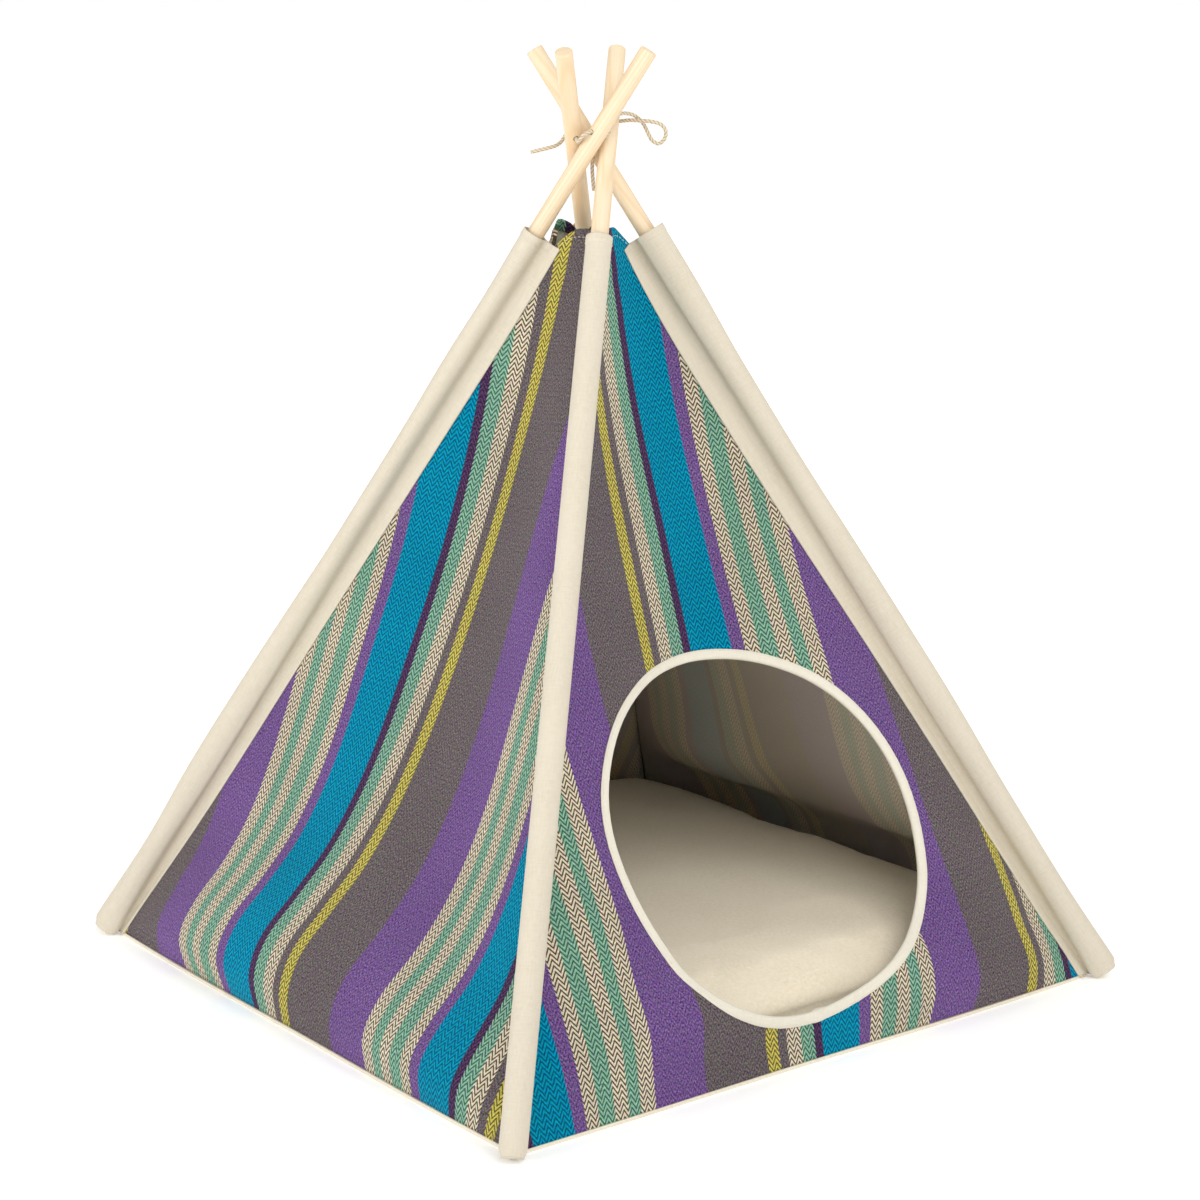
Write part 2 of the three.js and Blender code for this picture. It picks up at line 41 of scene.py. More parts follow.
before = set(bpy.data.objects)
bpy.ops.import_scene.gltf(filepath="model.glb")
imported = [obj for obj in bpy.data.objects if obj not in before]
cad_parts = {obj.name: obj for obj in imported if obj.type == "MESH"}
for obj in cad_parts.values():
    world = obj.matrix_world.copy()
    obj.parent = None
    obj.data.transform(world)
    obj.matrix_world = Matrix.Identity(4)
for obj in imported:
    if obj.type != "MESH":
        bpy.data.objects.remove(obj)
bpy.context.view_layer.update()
scene = bpy.context.scene

# %% [markdown]
# ## The camera
#
# The camera was fitted to the eight visible ends of the poles. It stands 1.9 m away, looks down
# a little, and has a long lens, so the tent's edges stay nearly parallel. A camera object looks
# along its own -Z, so it is first tipped up to the horizon and then turned to its heading.

# %% Place the camera
CAMERA_PLACE = Vector((-1.1352, -1.4892, 0.6850))
CAMERA_HEADING = math.radians(-37.48)
CAMERA_DOWN = math.radians(12.71)
CAMERA_ROLL = math.radians(-0.12)
SENSOR_WIDTH_MM = 36.0
FOCAL_LENGTH_MM = 82.05


def in_scene(name, data):
    """A new object in the scene, with its origin at the tent's."""
    thing = bpy.data.objects.new(name, data)
    scene.collection.objects.link(thing)
    return thing


camera_data = bpy.data.cameras.new("camera")
camera_data.sensor_width = SENSOR_WIDTH_MM
camera_data.lens = FOCAL_LENGTH_MM
camera = in_scene("camera", camera_data)
camera.matrix_world = (
    Matrix.Translation(CAMERA_PLACE)
    @ Matrix.Rotation(CAMERA_HEADING, 4, "Z")
    @ Matrix.Rotation(math.pi / 2 - CAMERA_DOWN, 4, "X")
    @ Matrix.Rotation(CAMERA_ROLL, 4, "Z")
)
scene.camera = camera
scene.view_settings.view_transform = "Standard"
print("camera at", tuple(round(value, 3) for value in CAMERA_PLACE))

# %% [markdown]
# ## Making meshes from rows of points
#
# Nearly all of the tent is cloth or cord that follows a rule, so its points come from formulas.
# A grid of points needs only its four-sided faces and, for a pattern that follows the cloth, a
# UV map. Here U and V are metres on the flat cloth, so one material fits every panel.

# %% Helpers for meshes
def grid_faces(rows, columns, ring=False, loop=False):
    """Four-sided faces between rows of points. ring closes each row, loop joins the last to the first."""
    row, column = np.mgrid[0:rows if loop else rows - 1, 0:columns if ring else columns - 1]
    above, after = (row + 1) % rows, (column + 1) % columns
    corners = [row * columns + column, row * columns + after,
               above * columns + after, above * columns + column]
    return np.stack(corners, axis=-1).reshape(-1, 4)


def closed_tube(rows, columns):
    """Faces between rings of points, shut by fans round two more points, one for each end."""
    faces = grid_faces(rows, columns, ring=True).tolist()
    last_ring, first_end, last_end = (rows - 1) * columns, rows * columns, rows * columns + 1
    for i in range(columns):
        j = (i + 1) % columns
        faces.append([j, i, first_end])
        faces.append([last_ring + i, last_ring + j, last_end])
    return faces


def new_piece(name, points, faces, cloth_uv=None):
    """An object with smooth faces, and a UV map where each point has a place on the cloth."""
    mesh = bpy.data.meshes.new(name)
    mesh.from_pydata(np.asarray(points).tolist(), [], [list(map(int, face)) for face in faces])
    if cloth_uv is not None:
        layer = mesh.uv_layers.new(name="cloth")
        corner_points = np.empty(len(mesh.loops), np.int32)
        mesh.loops.foreach_get("vertex_index", corner_points)
        layer.data.foreach_set("uv", np.asarray(cloth_uv, np.float32)[corner_points].ravel())
    mesh.shade_smooth()
    return in_scene(name, mesh)


def finished(piece):
    """The piece with its modifiers worked into a plain mesh."""
    graph = bpy.context.evaluated_depsgraph_get()
    mesh = bpy.data.meshes.new_from_object(piece.evaluated_get(graph))
    name = piece.name
    bpy.data.objects.remove(piece)
    return in_scene(name, mesh)


def mesh_points(mesh):
    """The places of a mesh's points, one row each."""
    return np.array([point.co for point in mesh.vertices])


def move_points(mesh, places):
    """Put every point of a mesh at its new place."""
    mesh.vertices.foreach_set("co", np.asarray(places, np.float32).ravel())
    mesh.update()


def unit(vectors):
    """Vectors of length 1 in the same directions."""
    vectors = np.asarray(vectors, float)
    return vectors / np.linalg.norm(vectors, axis=-1, keepdims=True)


print("mesh helpers are ready")

# %% [markdown]
# ## The tie
#
# A thin twisted cotton cord keeps the poles together. It runs through the holes of two poles,
# loops at the right, passes behind the front pole and hangs down the middle. Its route is the
# CAD model's, point by point. A curve with a bevel would give a plain round tube, so the cord is
# swept as a mesh instead: three lobes that turn as they go along make three twisted strands.

# %% The tie's size and route
TIE_DIAMETER = 2.4 * MM
TIE_ROUTE = MM * np.array([
    [-32, 26, 573.4], [-28, 23, 574.5], [-22.2, 19.8, 576], [-16.6, 18.6, 577.4],
    [-12, 18.6, 579.6], [-9.6, 16.8, 584], [-9.9, 13, 588], [-10.6, 9.9, 588.8],
    [-12, 4.4, 585.7], [-13.4, -1.2, 582.6], [-15.2, -5.6, 581.2], [-17, -9.8, 582.8],
    [-15.6, -12.8, 586.2], [-10.4, -13.1, 587.8], [-4.4, -12, 585.7], [1.7, -10.9, 583.6],
    [5.4, -11, 585.6], [7, -11.4, 589.4], [8.8, -10.8, 593.6], [12.6, -9.8, 597],
    [18, -9.4, 598.8], [24, -9.2, 598.8], [30, -10, 597], [35, -11.8, 592.4],
    [37.8, -13.8, 586], [40, -16, 580.6], [43.4, -19, 578.4], [46.2, -22, 582],
    [45.4, -23.6, 587.6], [41.8, -22.8, 591.6], [36.4, -19.8, 593.4], [31, -14.4, 594],
    [27, -5.6, 594], [22.6, 4.4, 592], [15.6, 7.2, 587.4], [8.6, 1.8, 582],
    [2.6, 0.2, 574], [0.4, -0.6, 564], [1, -1.4, 547.4],
])
print("tie route:", len(TIE_ROUTE), "points")

# %% Helpers for smooth lines
LINE_FINENESS = 24
# Any direction that no line here starts in
SIDE_HINT = (0.3, 0.1, 1.0)


def smooth_line(points, step=None, count=None):
    """A centripetal Catmull-Rom curve through the points, in even steps or a count of points."""
    points = np.asarray(points, float)
    ends = [2 * points[0] - points[1], 2 * points[-1] - points[-2]]
    held = np.vstack([ends[0], points, ends[1]])
    knots = np.concatenate([[0], np.cumsum(np.linalg.norm(np.diff(held, axis=0), axis=1) ** 0.5)])
    fine = []
    for start in range(1, len(held) - 2):
        k = knots[start - 1:start + 3]
        p = held[start - 1:start + 3]
        at = np.linspace(k[1], k[2], LINE_FINENESS, endpoint=False)[:, None]
        first = [(p[i] * (k[i + 1] - at) + p[i + 1] * (at - k[i])) / (k[i + 1] - k[i]) for i in range(3)]
        second = [(first[i] * (k[i + 2] - at) + first[i + 1] * (at - k[i])) / (k[i + 2] - k[i])
                  for i in range(2)]
        fine.append((second[0] * (k[2] - at) + second[1] * (at - k[1])) / (k[2] - k[1]))
    fine = np.vstack(fine + [points[-1:]])
    along = np.concatenate([[0], np.cumsum(np.linalg.norm(np.diff(fine, axis=0), axis=1))])
    even = np.linspace(0, along[-1], count or max(2, int(round(along[-1] / step)) + 1))
    return np.stack([np.interp(even, along, fine[:, axis]) for axis in range(3)], axis=-1)


def carried_sides(line):
    """Two directions across each point of a line, carried along it without twisting."""
    tangents = unit(np.gradient(line, axis=0))
    side = unit(np.cross(tangents[0], SIDE_HINT))
    sides = []
    for tangent in tangents:
        side = unit(side - tangent * (side @ tangent))
        sides.append(side)
    sides = np.array(sides)
    return sides, np.cross(tangents, sides)


print("line helpers are ready")

# %% Twist three strands along the route
TIE_RING_STEP = 0.45 * MM
TIE_RING_POINTS = 21
TIE_STRANDS = 3
STRAND_TURN = 8.5 * MM
STRAND_GROOVE = 0.1
# Loose hairs make a cord look wider than its core, so it is drawn wider by this
TIE_SWELL = 1.13
# A cut end is a little narrower, and widens over about two diameters
TIE_END_WIDTH = 0.72
TIE_END_TAPER = 2.2


def make_tie():
    """The cord as three twisted strands, with its two cut ends closed."""
    line = smooth_line(TIE_ROUTE, TIE_RING_STEP)
    sides, others = carried_sides(line)
    along = np.arange(len(line)) * np.linalg.norm(line[1] - line[0])
    angle = np.linspace(0, 2 * math.pi, TIE_RING_POINTS, endpoint=False)
    strand = np.cos(TIE_STRANDS * (angle[None, :] - 2 * math.pi * along[:, None] / STRAND_TURN))
    radius = TIE_DIAMETER / 2 * TIE_SWELL * (1 - STRAND_GROOVE * (0.5 - 0.5 * strand))
    from_end = np.minimum(along, along[-1] - along)
    radius *= np.clip(TIE_END_WIDTH + from_end / (TIE_END_TAPER * TIE_DIAMETER), 0, 1)[:, None]
    rings = (line[:, None, :]
             + sides[:, None, :] * (np.cos(angle) * radius)[..., None]
             + others[:, None, :] * (np.sin(angle) * radius)[..., None])
    points = np.vstack([rings.reshape(-1, 3), line[0], line[-1]])
    piece = new_piece("tie", points, closed_tube(len(line), TIE_RING_POINTS))
    height = piece.data.attributes.new("strand_height", "FLOAT", "POINT")
    height.data.foreach_set("value", np.append(strand.ravel(), [0, 0]).astype(np.float32))
    return piece, line


tie, tie_line = make_tie()
print("tie:", len(tie.data.polygons), "faces,",
      round(float(np.linalg.norm(np.diff(tie_line, axis=0), axis=1).sum()) / MM, 1), "mm long")

# %% [markdown]
# ## Light, floor and background
#
# The tent stands on a plain white sweep in a bright white room. Light comes from all round, with
# one large soft light high in front that looks a little way in at the doorway, weaker ones at the
# left and behind, and the white floor throws light back up. Three area lights and a pale world
# give that.

# %% Helpers for colours, nodes and materials
def linear(hex_colour):
    """An sRGB colour such as #ffffff as the linear red, green, blue and alpha of a shader."""
    shares = [int(hex_colour[i:i + 2], 16) / 255 for i in (1, 3, 5)]
    return tuple(s / 12.92 if s <= 0.04045 else ((s + 0.055) / 1.055) ** 2.4 for s in shares) + (1.0,)


def add_node(tree, kind, inputs=(), **settings):
    """A node with its settings. An input is a value, another node's output, or just that node."""
    node = tree.nodes.new(kind)
    for name, value in settings.items():
        setattr(node, name, value)
    named = inputs if isinstance(inputs, dict) else dict(enumerate(inputs))
    for key, value in named.items():
        if isinstance(value, bpy.types.Node):
            value = value.outputs[0]
        if isinstance(value, bpy.types.NodeSocket):
            tree.links.new(value, node.inputs[key])
        else:
            node.inputs[key].default_value = value
    return node


def new_material(name, **shader_values):
    """A material with only its Principled shader, whose sockets are named with underscores."""
    material = bpy.data.materials.new(name)
    material.use_nodes = True
    shader = material.node_tree.nodes["Principled BSDF"]
    for socket, value in shader_values.items():
        shader.inputs[socket.replace("_", " ")].default_value = value
    return material, material.node_tree, shader


print("colour, node and material helpers are ready")

# %% A white background and pale light from all round
AROUND_STRENGTH = 0.62


def make_world():
    """White behind the tent, and a dimmer pale light from all round."""
    world = bpy.data.worlds.new("studio")
    world.use_nodes = True
    tree = world.node_tree
    tree.nodes.clear()
    seen = add_node(tree, "ShaderNodeBackground", {"Color": linear("#ffffff"), "Strength": 1.0})
    lighting = add_node(
        tree, "ShaderNodeBackground", {"Color": linear("#fbfaf8"), "Strength": AROUND_STRENGTH})
    path = add_node(tree, "ShaderNodeLightPath")
    both = add_node(tree, "ShaderNodeMixShader",
                    {0: path.outputs["Is Camera Ray"], 1: lighting.outputs[0], 2: seen.outputs[0]})
    add_node(tree, "ShaderNodeOutputWorld", {"Surface": both.outputs[0]})
    return world


scene.world = make_world()
print("world:", scene.world.name)

# %% Three soft lights
TENT_MIDDLE = (0, 0, 0.25)
# Each light's name, its place, the side of its square and its power in watts
SOFTBOXES = [
    ("front softbox", (-0.4, -2.3, 2.5), 2.4, 50),
    ("left softbox", (-3.0, 0.2, 1.0), 2.0, 31),
    ("back softbox", (1.6, 2.2, 2.4), 2.2, 18),
]


def add_softbox(name, place, size, power):
    """A square soft light that looks at the middle of the tent."""
    data = bpy.data.lights.new(name, "AREA")
    data.size = size
    data.energy = power
    light = in_scene(name, data)
    light.location = place
    light.rotation_euler = (Vector(TENT_MIDDLE) - Vector(place)).to_track_quat("-Z", "Y").to_euler()


for softbox in SOFTBOXES:
    add_softbox(*softbox)

# %% The floor
FLOOR_HALF_SIDE = 60.0


def make_floor():
    """A white floor wide enough to reach the background, which glows less near the tent."""
    half = FLOOR_HALF_SIDE
    corners = [(-half, -half, 0), (half, -half, 0), (half, half, 0), (-half, half, 0)]
    floor = new_piece("studio_floor", corners, [[0, 1, 2, 3]])
    material, tree, shader = new_material(
        "white studio paper", Base_Color=linear("#fbfbfa"), Roughness=0.9,
        Emission_Color=linear("#ffffff"))
    place = add_node(tree, "ShaderNodeTexCoord")
    away = add_node(tree, "ShaderNodeVectorMath", [place.outputs["Object"]], operation="LENGTH")
    glow = add_node(tree, "ShaderNodeMapRange", {
        "Value": away.outputs["Value"], "From Min": 0.4, "From Max": 1.3, "To Min": 0.2, "To Max": 0.5})
    tree.links.new(glow.outputs[0], shader.inputs["Emission Strength"])
    floor.data.materials.append(material)
    return floor


studio_floor = make_floor()
print("floor:", studio_floor.name)

# %% [markdown]
# ## The tent's skeleton in numbers
#
# Every corner of the tent is the left one turned by quarter turns, and every wall is the
# doorway wall turned the same way, as in the CAD model. A wall seam runs level behind its pole.
# Between two seams a wall would be flat, and a small table says how far it stands out of that
# flat at each height: the cushion pushes it out low down, and the cloth sags in above. The right
# wall has a soft fold over the cushion, which shows through the doorway.

# %% Measures of poles and seams
LEFT, FRONT, RIGHT, BACK = range(4)
CORNER_NAMES = ["left", "front", "right", "back"]
FOOT = MM * np.array([-255, 255, 8])
CROSSING = MM * np.array([-11.4 / math.sqrt(2), -11.4 / math.sqrt(2), 577.2])
UP_POLE = unit(CROSSING - FOOT)
CORNER_OUT = unit([-1, 1, 0])
POLE_OUT = unit(CORNER_OUT - UP_POLE * (CORNER_OUT @ UP_POLE))
POLE_SIDE = np.cross(UP_POLE, POLE_OUT)
SEAM_OFFSET = 17.8 * MM
SEAM_DRAWN_IN = 5.8 * MM
SEAM_DRAWN_FADE = 35 * MM
WALL_TOP = 523 * MM
WALL_TOP_DIP = 13 * MM
WALL_BOTTOM = 2.4 * MM
WALL_SLANT = 1.0925
WALL_OUT = unit([0, -1, 0.44])
print("a pole leans", round(math.degrees(math.acos(UP_POLE[2])), 1), "degrees from upright")

# %% How each wall stands out of its flat
# Each row: height, then how far the cloth stands out in the middle, leans to the left seam,
# and stands out beside both seams
DOOR_WALL = MM * np.array([
    [0, 0, 0, 0], [20, 13, -5.9, 5.5], [45, 22.4, -2.3, 5], [75, 5.2, -2.7, 12.5],
    [110, -2.6, -0.1, 14.5], [160, -23.8, -1.8, 17.4], [230, -21.9, -3.6, 7.3],
    [320, -22.5, -0.6, 0.6], [420, -17.4, 0.2, -0.5], [515, 0, 0, 0],
])
LEFT_WALL = MM * np.array([
    [0, 0, 0, 0], [20, 19.1, 2.4, 5.2], [45, 19.3, 3.8, 3.4], [75, 4.2, 4.1, 0.2],
    [110, -10.6, 3.1, -0.2], [160, -19.9, 2, 0.9], [230, -22.2, -0.2, 3],
    [320, -19.7, -4, 2.5], [420, -12, -3.5, 0.7], [515, 0, 0, 0],
])
PLAIN_WALL = MM * np.array([
    [0, 0, 0, 0], [20, 17, 1, 5], [45, 19, 1, 4], [75, 6, 1, 3], [110, -7, 1, 2],
    [160, -18, 0, 2], [230, -21, 0, 3], [320, -20, -1, 2], [420, -13, -1, 1], [515, 0, 0, 0],
])
RIGHT_WALL = MM * np.array([
    [0, 0, 0, 0], [20, 17, 1, 5], [45, 17.5, 1.4, 4.2], [60, 10.5, 0.8, 3.4], [75, -3.6, 2.2, -2.6],
    [90, -11.1, 3.8, -6], [110, -18, 4.2, -6.5], [135, -17.3, 0.4, -3.5], [160, -14.6, -1.8, -1.5],
    [195, -12, -2.6, -0.6], [230, -17, -1, 2], [320, -20, -1, 2], [420, -13, -1, 1], [515, 0, 0, 0],
])
# At its top the back wall stands out and leans, as its corner behind the poles shows
BACK_WALL = np.vstack([PLAIN_WALL[:-2], MM * np.array([[420, -10, -1, 1], [515, 9, -5, 1]])])
print("rows in the walls' tables:", [len(table) for table in (DOOR_WALL, RIGHT_WALL, BACK_WALL, LEFT_WALL)])

# %% Places on seams and walls
def turned(points, quarter_turns):
    """Points turned about the tent's upright axis."""
    cosine, sine = [(1, 0), (0, 1), (-1, 0), (0, -1)][quarter_turns % 4]
    x, y, z = np.moveaxis(np.asarray(points, float), -1, 0)
    return np.stack([cosine * x - sine * y, sine * x + cosine * y, z], axis=-1)


def seam_offset(height):
    """Level distance from a pole's centre line to its wall seam."""
    return SEAM_OFFSET - SEAM_DRAWN_IN * np.exp(-np.asarray(height) / SEAM_DRAWN_FADE)


def seam_point(corner, height):
    """A point of a corner's wall seam."""
    height = np.asarray(height, float)[..., None]
    point = FOOT + UP_POLE * (height - FOOT[2]) / UP_POLE[2] - CORNER_OUT * seam_offset(height)
    return turned(point, corner)


def wall_width(height):
    """Distance between the two seams of a wall."""
    return np.linalg.norm(seam_point(FRONT, height) - seam_point(RIGHT, height), axis=-1)


def smooth_column(table, column, height):
    """A smooth curve through one column of a wall's table."""
    heights, values = table[:, 0], table[:, column]
    last = len(heights) - 1
    before = np.maximum(np.arange(last + 1) - 1, 0)
    after = np.minimum(np.arange(last + 1) + 1, last)
    slopes = (values[after] - values[before]) / (heights[after] - heights[before])
    low = np.clip(height, heights[0], heights[-1])
    row = np.clip(np.searchsorted(heights, low, side="left") - 1, 0, last - 1)
    span = heights[row + 1] - heights[row]
    share = (low - heights[row]) / span
    rest = 1 - share
    return (values[row] * rest ** 2 * (1 + 2 * share) + values[row + 1] * share ** 2 * (3 - 2 * share)
            + slopes[row] * span * share * rest ** 2 - slopes[row + 1] * span * share ** 2 * rest)


def wall_middle(table, across, height):
    """A point in the middle of the doorway wall's cloth, from 0 at its left seam to 1 at its right."""
    across, height = np.broadcast_arrays(across, height)
    start = seam_point(FRONT, height)
    point = start + (seam_point(RIGHT, height) - start) * across[..., None]
    reach = sum(smooth_column(table, wave, height) * np.sin(wave * math.pi * across) for wave in (1, 2, 3))
    return point + WALL_OUT * reach[..., None]


def wall_point(table, across, height, offset=0.0):
    """The same point moved off the middle of the cloth, outwards where offset is above 0."""
    level_step, rise = 0.004, 1.5 * MM
    level = wall_middle(table, across + level_step, height) - wall_middle(table, across - level_step, height)
    upward = wall_middle(table, across, height + rise)
    upward = upward - wall_middle(table, across, np.maximum(height - rise, 0))
    out = unit(np.cross(level, upward))
    return wall_middle(table, across, height) + out * np.broadcast_to(offset, np.shape(height))[..., None]


def wall_top(across):
    """Height of a wall's top edge, which dips towards its seams."""
    return WALL_TOP - WALL_TOP_DIP * np.abs(2 * across - 1) ** 3


print("wall widths in mm at 50, 250 and 500 mm up:",
      [round(float(wall_width(height * MM)) / MM) for height in (50, 250, 500)])

# %% [markdown]
# ## Striped herringbone cloth
#
# The walls are a furnishing cloth woven in a herringbone twill: slanting rows of floats that
# change direction every few threads, so that they make columns of chevrons. The coloured
# threads run up the cloth and make the stripes, and a dark thread crosses them. On the pale
# stripes the dark thread shows as short slanting dashes, on the dark ones it is nearly lost.
#
# The pattern is built from the place on the flat cloth. The distance across picks the stripe
# from a colour ramp with hard steps. Two triangle waves give the chevrons. Fine stretched noise
# gives the uneven, heathered yarn. The wrong side of the cloth shows mostly the dark thread, and
# it is mixed with a pale cream: painted light for the light that shines through the cloth.

# %% The stripes and their yarns
STRIPES_START = -186.9 * MM
# The colour of each yarn, of the threads between its floats, and how speckled it is
CHARCOAL = ("#696062", "#574f51", 1.0)
PURPLE = ("#74588b", "#5e4578", 1.0)
BEIGE = ("#d3c8b1", "#52473c", 0.4)
GREEN = ("#86ae98", "#3a6151", 0.5)
TEAL = ("#0090b2", "#00566f", 0.55)
AUBERGINE = ("#523659", "#35243f", 0.9)
YELLOW = ("#c6b95a", "#625b32", 0.5)
# Each stripe from left to right: its width in mm and its yarn
STRIPES = [
    (40.5, PURPLE), (11.8, BEIGE), (9.4, GREEN), (11.0, BEIGE), (11.3, GREEN), (10.2, BEIGE),
    (9.4, PURPLE), (31.2, TEAL), (6.6, AUBERGINE), (10.8, GREEN), (11.4, BEIGE), (7.9, CHARCOAL),
    (9.5, YELLOW), (52.7, CHARCOAL),
]
STRIPES_REPEAT = MM * sum(width for width, _ in STRIPES)


def stripe_ramp(tree, place, which):
    """A colour ramp with one hard step for each stripe, whose alpha says how speckled it is."""
    ramp = add_node(tree, "ShaderNodeValToRGB", {"Fac": place})
    ramp.color_ramp.interpolation = "CONSTANT"
    points = ramp.color_ramp.elements
    start = 0.0
    for number, (width, colours) in enumerate(STRIPES):
        point = points[number] if number < 2 else points.new(start)
        point.position = start
        point.color = (*linear(colours[which])[:3], colours[2])
        start += width * MM / STRIPES_REPEAT
    return ramp


print("stripes repeat every", round(STRIPES_REPEAT / MM, 1), "mm")

# %% The woven cloth
# The chevrons at the size that they have in the photograph
CHEVRON_COLUMN = 3.12 * MM
CHEVRON_PITCH = 3.8 * MM
CHEVRON_SLOPE = 1.55
# How much of the pitch the dark thread takes, and how soft and how uneven its edge is
DARK_THREAD_SHARE = 0.46
THREAD_EDGE = 0.07
THREAD_UNEVEN = 0.22
# Stripe edges step in and out with the floats, by up to half of this
STRIPE_STEP = 1.5 * MM
# Fibres and heathered specks to the millimetre, across the cloth and along it. Both are drawn
# about twice as coarse as they are, so that they show from here
FIBRES_PER_MM = (2.6, 0.7)
SPECKS_PER_MM = (1.05, 0.82)
SPECK_CONTRAST = 5.0
SPECK_TINT = 0.35
# The wrong side is painted paler, as painted light for light that shines through it into the tent,
# and subsurface light comes through the cloth from behind
PAINTED_THROUGH_LIGHT = "#e8dfce"
PAINTED_THROUGH_LIGHT_SHARE = 0.6
THROUGH_SHARE = 0.5


def herringbone_cloth(name, wrong_side):
    """Woven cotton and wool: matt, a little hairy at grazing light, with rounded slanting floats."""
    material, tree, shader = new_material(
        name, Roughness=1.0, Specular_IOR_Level=0.04, Sheen_Weight=0.03, Sheen_Roughness=0.6,
        Subsurface_Weight=THROUGH_SHARE, Subsurface_Radius=(1.0, 0.9, 0.8), Subsurface_Scale=1.3 * MM)
    cloth = add_node(tree, "ShaderNodeUVMap", uv_map="cloth")
    place = add_node(tree, "ShaderNodeSeparateXYZ", [cloth])
    across, along = place.outputs["X"], place.outputs["Y"]

    # Two triangle waves: one turns the floats' slant at each column, the other repeats them
    column = add_node(tree, "ShaderNodeMath", [across, CHEVRON_COLUMN], operation="DIVIDE")
    zigzag = add_node(tree, "ShaderNodeMath", [column, 1.0], operation="PINGPONG")
    climb = CHEVRON_COLUMN * CHEVRON_SLOPE
    rise = add_node(tree, "ShaderNodeMath", [zigzag, climb, along], operation="MULTIPLY_ADD")
    floats = add_node(tree, "ShaderNodeMath", [rise, CHEVRON_PITCH], operation="DIVIDE")
    half_wave = add_node(tree, "ShaderNodeMath", [floats, 0.5], operation="PINGPONG")

    # Yarn that thickens and thins shifts the edges of the floats
    per_metre = [count / MM for count in FIBRES_PER_MM]
    fibre_place = add_node(tree, "ShaderNodeVectorMath", [cloth, (*per_metre, 0)], operation="MULTIPLY")
    fibres = add_node(tree, "ShaderNodeTexNoise", {"Vector": fibre_place, "Scale": 1.0, "Detail": 2.0})
    uneven = add_node(tree, "ShaderNodeMath", [fibres, THREAD_UNEVEN, half_wave], operation="MULTIPLY_ADD")
    edge = DARK_THREAD_SHARE / 2 + THREAD_UNEVEN / 2
    dark = add_node(tree, "ShaderNodeMapRange", {
        "Value": uneven, "From Min": edge - THREAD_EDGE, "From Max": edge + THREAD_EDGE,
        "To Min": 1.0, "To Max": 0.0}, interpolation_type="SMOOTHSTEP")

    # The stripe at this place, and the two tones of its yarn
    step = add_node(tree, "ShaderNodeMath", [half_wave, STRIPE_STEP, across], operation="MULTIPLY_ADD")
    from_start = add_node(tree, "ShaderNodeMath", [step, STRIPES_START], operation="SUBTRACT")
    repeats = add_node(tree, "ShaderNodeMath", [from_start, STRIPES_REPEAT], operation="DIVIDE")
    stripe = add_node(tree, "ShaderNodeMath", [repeats], operation="FRACT")
    yarn, between = stripe_ramp(tree, stripe, 0), stripe_ramp(tree, stripe, 1)
    woven = add_node(tree, "ShaderNodeMix", {"Factor": dark, 6: yarn, 7: between}, data_type="RGBA")

    # Heathered yarn: light, dark and tinted fibres in every stripe, and slow changes over the cloth
    per_metre = [count / MM for count in SPECKS_PER_MM]
    speck_place = add_node(tree, "ShaderNodeVectorMath", [cloth, (*per_metre, 0)], operation="MULTIPLY")
    specks = add_node(tree, "ShaderNodeTexNoise", {"Vector": speck_place, "Scale": 1.0, "Detail": 3.0})
    tinted = add_node(tree, "ShaderNodeMix", {
        "Factor": SPECK_TINT, 6: specks.outputs[0], 7: specks.outputs["Color"]}, data_type="RGBA")
    contrast = add_node(
        tree, "ShaderNodeVectorMath", [tinted.outputs[2], (SPECK_CONTRAST,) * 3, (-SPECK_CONTRAST / 2,) * 3],
        operation="MULTIPLY_ADD")
    in_stripe = add_node(tree, "ShaderNodeVectorMath", {0: contrast, "Scale": yarn.outputs["Alpha"]},
                         operation="SCALE")
    bright = add_node(tree, "ShaderNodeVectorMath", [in_stripe, (1.0, 1.0, 1.0)], operation="ADD")
    slow = add_node(tree, "ShaderNodeTexNoise", {"Vector": cloth, "Scale": 14.0, "Detail": 2.0})
    faded = add_node(tree, "ShaderNodeMapRange", {
        "Value": slow, "From Min": 0.3, "From Max": 0.7, "To Min": 0.94, "To Max": 1.06})
    speckled = add_node(tree, "ShaderNodeVectorMath", [woven.outputs[2], bright], operation="MULTIPLY")
    colour = add_node(tree, "ShaderNodeVectorMath", {0: speckled, "Scale": faded}, operation="SCALE")
    seen = colour.outputs[0]
    # The wrong side is mixed with a pale cream: painted light for the light that shines through the cloth
    # into the tent
    if wrong_side:
        painted_through_light = {"Factor": PAINTED_THROUGH_LIGHT_SHARE, 6: colour, 7: linear(PAINTED_THROUGH_LIGHT)}
        seen = add_node(tree, "ShaderNodeMix", painted_through_light, data_type="RGBA").outputs[2]
    tree.links.new(seen, shader.inputs["Base Color"])

    yarn_height = add_node(tree, "ShaderNodeMath", [dark, -0.45, specks], operation="MULTIPLY_ADD")
    bump = add_node(tree, "ShaderNodeBump", {"Height": yarn_height, "Strength": 0.55, "Distance": 0.35 * MM})
    tree.links.new(bump.outputs[0], shader.inputs["Normal"])
    return material


right_side_cloth = herringbone_cloth("striped herringbone cloth", wrong_side=False)
wrong_side_cloth = herringbone_cloth("wrong side of the striped cloth", wrong_side=True)
print("cloth finishes:", right_side_cloth.name, "and", wrong_side_cloth.name)

# %% [markdown]
# ## The four walls
#
# Each wall is one layer of cloth cut to a tall trapezium, with its top edge folded in and
# stitched as a hem. The plain walls are grids of points between their two seams. The doorway
# wall is laid out in rings round its doorway, so that the cut edge is a smooth curve: every
# ray from the middle of the doorway runs from the cut edge to the wall's outline.
#
# The cloth has two layers of points, its face and its wrong side, because they have different
# finishes and the hem is thicker than the rest. Small ripples near the seams show that the
# cloth was gathered a little by the sewing.

